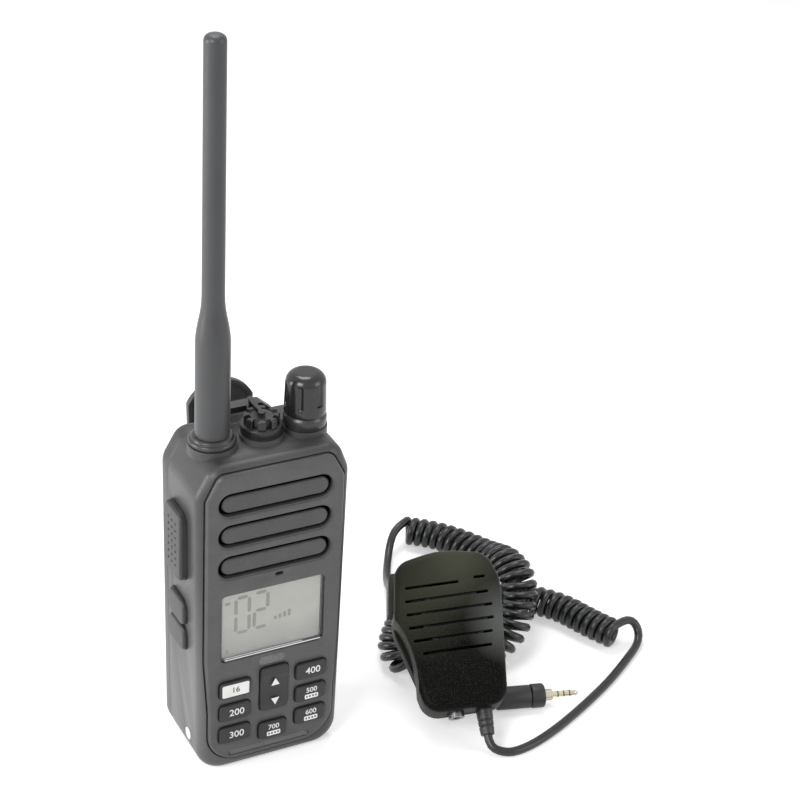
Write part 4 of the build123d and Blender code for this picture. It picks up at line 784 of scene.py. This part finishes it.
# ------------------------------------------------------------------ the shells and the pieces behind them
# each node with its finish, the round of its edges in mm, its body and its slot
for node, finish_name, width, body, slot in [
        ("front_housing", "case plastic", 0.25, "radio", "case"),
        ("rear_housing", "case plastic", 0.25, "radio", "case"),
        ("battery_pack", "case plastic", 0.25, "radio", "case"),
        ("front_panel", "panel plastic", 0.22, "radio", "panel"),
        ("grille_insert", "grille bar plastic", 0.2, "radio", "grille"),
        ("antenna_ring", "ring plastic", 0.3, "radio", "case"),
        ("knob_ring", "ring plastic", 0.3, "radio", "case"),
        ("jack_cap", "cap rubber", 0.25, "jack_cap", "softkey"),
        ("cap_tether", "cap rubber", 0.15, "radio", "softkey"),
        ("volume_knob", "knob plastic", 0.25, "volume_knob", "grille"),
        ("channel_rocker", "key rubber", 0.25, "channel_rocker", "keycap"),
        ("ptt_button", "side key rubber", 0.3, "ptt_button", "softkey"),
        ("side_key_lower", "side key rubber", 0.3, "side_key_lower", "softkey"),
        ("side_key_upper", "side key rubber", 0.3, "side_key_upper", "softkey"),
        ("battery_latch", "grille bar plastic", 0.2, "battery_latch", "grille"),
        ("clip_base", "grille bar plastic", 0.25, "radio", "grille"),
        ("clip_lever", "grille bar plastic", 0.3, "clip_lever", "grille"),
        ("mic_front_cover", "microphone plastic", 0.2, "microphone", "micshell"),
        ("mic_rear_cover", "microphone plastic", 0.25, "microphone", "micshell"),
        ("mic_ptt", "microphone bar rubber", 0.3, "mic_ptt", "softkey"),
        ("mic_clip_base", "microphone plastic", 0.2, "microphone", "micshell"),
        ("mic_clip_lever", "microphone plastic", 0.2, "mic_clip_lever", "micshell"),
        ("plug_collar", "plug rubber", 0.2, "plug_collar", "cord"),
        ("plug_body", "plug rubber", 0.2, "microphone", "cord"),
        ("strain_relief", "plug rubber", 0.15, "microphone", "cord")]:
    softened(node, finish_name, width, body)

# painted shade: the faces deep in the grille's slots get a near-black finish
grille = bpy.data.objects["grille_insert_shell"]
grille.data.materials.append(finishes["slot shadow plastic"])
for face in grille.data.polygons:
    if face.center.y > (PANEL_FRONT + SLOT_SHADE) * MM:
        face.material_index = 1

for key in sorted(n for n in nodes if n.startswith(("key_left", "key_right", "key_low"))):
    softened(key, "key rubber", 0.2, key)

for node, finish_name in {
        "antenna": "antenna rubber", "window_lens": "clear window", "display_module": "display glass",
        "speaker_membrane": "acoustic cloth", "speaker": "cone paper", "key_mat": "key rubber",
        "main_board": "circuit board", "chassis": "cast metal", "side_switches": "circuit board",
        "charge_contact": "white contact", "antenna_connector": "pale gold", "jack_socket": "nickel",
        "volume_encoder": "steel", "case_gasket": "cap rubber", "battery_contacts": "pale gold",
        "battery_cells": "cell sleeve", "clip_pin": "steel", "clip_spring": "steel",
        "case_screws": "steel", "mic_speaker": "cone paper", "mic_board": "circuit board",
        "mic_earphone_jack": "dark nickel", "mic_clip_pin": "steel", "mic_screws": "steel",
        "plug_pin": "pale gold"}.items():
    dress(node, finish_name)


# ------------------------------------------------------------------ display, legends and marks
MARK_T = 0.03          # how far the display's marks stand out of it
INK_T = 0.012          # half the thickness of the print on a key
DIGIT = (5.7, 16.6, 1.5)  # a display figure's width, height and thickness of line


def segment(x, z, length, thick, upright):
    """One bar of a figure, with pointed ends."""
    half, t = length / 2, thick / 2
    outline = [(-half, 0), (-half + t, t), (half - t, t), (half, 0), (half - t, -t), (-half + t, -t)]
    if upright:
        outline = [(-v, u) for u, v in outline]
    return prism(outline, -MARK_T, 0.0, (x, z))


def figure(bars, x, z, w, h, thick):
    """A seven-bar figure: bars names those that are lit, by letters a to g."""
    gap = thick * 0.6
    places = {"a": (0, h / 2, False), "g": (0, 0, False), "d": (0, -h / 2, False), "f": (-w / 2, h / 4, True),
              "b": (w / 2, h / 4, True), "e": (-w / 2, -h / 4, True), "c": (w / 2, -h / 4, True)}
    parts = []
    for dx, dz, upright in (places[bar] for bar in bars):
        parts.append(segment(x + dx, z + dz, (h / 2 if upright else w) - gap, thick, upright))
    return parts


def mark(w, h, r, x, z, steps=2):
    """A small rounded mark on the display."""
    return prism(rounded_card(w, h, r, steps), -MARK_T, 0.0, (x, z))


def show_display():
    """The figures and small marks on the display's glass."""
    marks = figure("abcdef", -12.8, 74.9, *DIGIT) + figure("abged", -4.9, 75.3, *DIGIT)
    marks += [mark(1.3, 1.4 + 0.6 * i, 0.2, 1.4 + 2.0 * i, 69.8 + 0.3 * i) for i in range(4)]
    marks += [mark(2.2, 1.2, 0.3, -19.2, 81.6), mark(1.5, 2.1, 0.6, -19.4, 58.6, 3)]
    piece = joined("display_figures", marks, "display segment")
    piece.data.transform(Matrix.Translation((0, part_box("display_module")[0].y, 0)))
    placed(piece, "radio")


def lettering(text, size, x, y, z):
    """Plain figures as a thin flat mesh facing the front."""
    curve = bpy.data.curves.new("figures", "FONT")
    curve.body = text
    curve.size = size * MM
    curve.align_x = "CENTER"
    curve.align_y = "CENTER"
    curve.extrude = INK_T * MM
    curve.offset = 0.04 * MM
    piece = settled(object_from("figures", curve))
    piece.data.transform(Matrix.Translation(Vector((x, y, z)) * MM) @ Matrix.Rotation(radians(90), 4, "X"))
    bm = bmesh.new()
    bm.from_mesh(piece.data)
    bpy.data.objects.remove(piece)
    return bm


# the middles of the keys' faces, x and z
KEY_PLACES = {"key_left_1": (-16.5, 41.3), "key_left_2": (-16.5, 30.0), "key_left_3": (-16.5, 18.9),
              "key_right_1": (16.8, 41.3), "key_right_2": (16.8, 30.0), "key_right_3": (16.8, 18.9),
              "key_low": (0.2, 16.2)}


def ink(name, parts, finish_name, body):
    """Print on a key, as one thin piece that moves with it."""
    placed(joined(name, parts, finish_name), body)


def plate(w, h, r, x, y, z, y_near=-INK_T, y_far=INK_T, steps=5):
    """A small rounded plate whose middle is at (x, z), about a plane y."""
    return prism(rounded_card(w, h, r, steps), y + y_near, y + y_far, (x, z))


def print_keys():
    """The white figures on the keys, and the small white plates under some of them."""
    y = KEY_FRONT - 0.02
    for number, key in (("200", "key_left_2"), ("300", "key_left_3"), ("400", "key_right_1")):
        x, z = KEY_PLACES[key]
        ink(key + "_figure", [lettering(number, 4.4, x + 0.6, y, z)], "legend ink", key)
    for number, key in (("500", "key_right_2"), ("600", "key_right_3"), ("700", "key_low")):
        x, z = KEY_PLACES[key]
        ink(key + "_figure", [lettering(number, 3.3, x + 0.3, y, z + 1.5),
                              plate(6.0, 2.2, 0.5, x + 0.3, y, z - 1.6)], "legend ink", key)
        ink(key + "_dots", [plate(0.7, 0.9, 0.2, x + 0.3 + dx, y, z - 1.6, -0.03, -INK_T, 2)
                            for dx in (-2.0, -0.7, 0.7, 2.0)], "dark ink", key)
    x, z = KEY_PLACES["key_left_1"]
    ink("key_left_1_plate", [plate(11.6, 5.9, 0.7, x, y, z)], "legend ink", "key_left_1")
    ink("key_left_1_figure", [lettering("16", 3.6, x, y - 0.03, z)], "dark ink", "key_left_1")
    arrows = []
    for way, z in ((1, 40.7), (-1, 31.1)):
        outline = [(-1.75, -1.55 * way), (1.75, -1.55 * way), (0, 1.75 * way)]
        arrows.append(prism(outline, y - 0.55, y - 0.38, (0.6, z)))
    ink("rocker_arrows", arrows, "legend ink", "channel_rocker")


show_display()
print_keys()

# ------------------------------------------------------------------ repeated details
PIN_RINGS = (39.0, 41.6, 44.2)  # where the pin's black rings begin, from the cord's end of the plug
NECK_MIDDLE = 34.9     # the middle of the knurled neck, from there too
domes, ribs, teeth = field_tree(), row_tree(), ring_tree()


def on_left_wall(x, y, z):
    """The frame of a patch on the left wall: its x runs to the back, its y up, its z out."""
    return Matrix.Translation(Vector((x, y, z)) * MM) @ Matrix((
        (0, 0, -1, 0), (1, 0, 0, 0), (0, -1, 0, 0), (0, 0, 0, 1))) @ Matrix.Rotation(pi, 4, "X")


def roughen_ptt():
    """The field of domes on the push-to-talk button."""
    sizes = {"Columns": 3, "Rows": 7, "Across": 7.0 * MM, "Up": 19.0 * MM, "Radius": 0.62 * MM,
             "Height": 0.34 * MM}
    wall = on_left_wall(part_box("ptt_button")[0].x / MM, 1.0, 103.5)
    placed(grown(domes, "ptt_domes", sizes, "side key rubber", wall), "ptt_button")


def rib_panel():
    """The band of slanting ribs along the foot of the panel."""
    sizes = {"Count": 46, "Length": 33.4 * MM, "Thick": 0.4 * MM, "Tall": 2.5 * MM, "Deep": 0.6 * MM,
             "Lean": radians(28)}
    place = Matrix.Translation(Vector((-1.0, PANEL_FRONT + 0.22, 9.1)) * MM)
    facing = Matrix.Rotation(radians(90), 4, "X")
    placed(grown(ribs, "panel_ribs", sizes, "knurled plastic", place @ facing), "radio")


def finish_plug():
    """Black rings part the contacts of the pin, its tip is bare nickel, and its neck is knurled."""
    bands = [(r, z + dz) for z in PIN_RINGS for r, dz in ((1.2, 0), (1.3, 0), (1.3, 0.5), (1.2, 0.5))]
    rings = [(0, PIN_RINGS[0])] + bands + [(0, PIN_RINGS[-1] + 0.5)]
    tip = [(0, 46.6), (0.98, 46.6), (1.26, 47.0), (1.1, 47.5), (0.5, 48.15), (0, 48.15)]
    sizes = {"Count": 26, "Radius": 2.32 * MM, "Thick": 0.26 * MM, "Deep": 0.3 * MM, "Tall": 2.6 * MM}
    neck = PLUG_POSE @ Matrix.Translation(Vector((0, 0, NECK_MIDDLE)) * MM)
    for piece in (turned_piece("plug_pin_rings", rings, "insulator", PLUG_POSE),
                  turned_piece("plug_pin_tip", tip, "nickel", PLUG_POSE, sharp=60.0),
                  grown(teeth, "plug_neck_knurl", sizes, "nickel", neck)):
        placed(piece, "microphone")


def trim_window():
    """The light pipe under the window, and bright lines along the window's lower edge: a painted highlight of
    the lens's bevelled edge.
    """
    pipe = plate(11.0, 3.8, 1.6, -0.4, PANEL_FRONT, 51.3, -0.05, 0.05)
    placed(joined("lamp_bar", [pipe], "light pipe"), "radio")
    # painted highlight: near-white strips where the lens's lower edge catches the light
    y = PANEL_FRONT + 0.62
    lines = [prism(outline, y, y + 0.1) for outline in (
        [(-20.6, 55.0), (21.0, 55.0), (21.0, 55.5), (-20.6, 55.5)],
        [(-20.9, 56.1), (13.0, 56.0), (13.0, 56.25), (-20.9, 56.35)])]
    placed(joined("window_edge_highlight", lines, "painted lens edge highlight"), "radio")


roughen_ptt()
rib_panel()
finish_plug()
trim_window()

bpy.context.scene.view_settings.view_transform = "Standard"
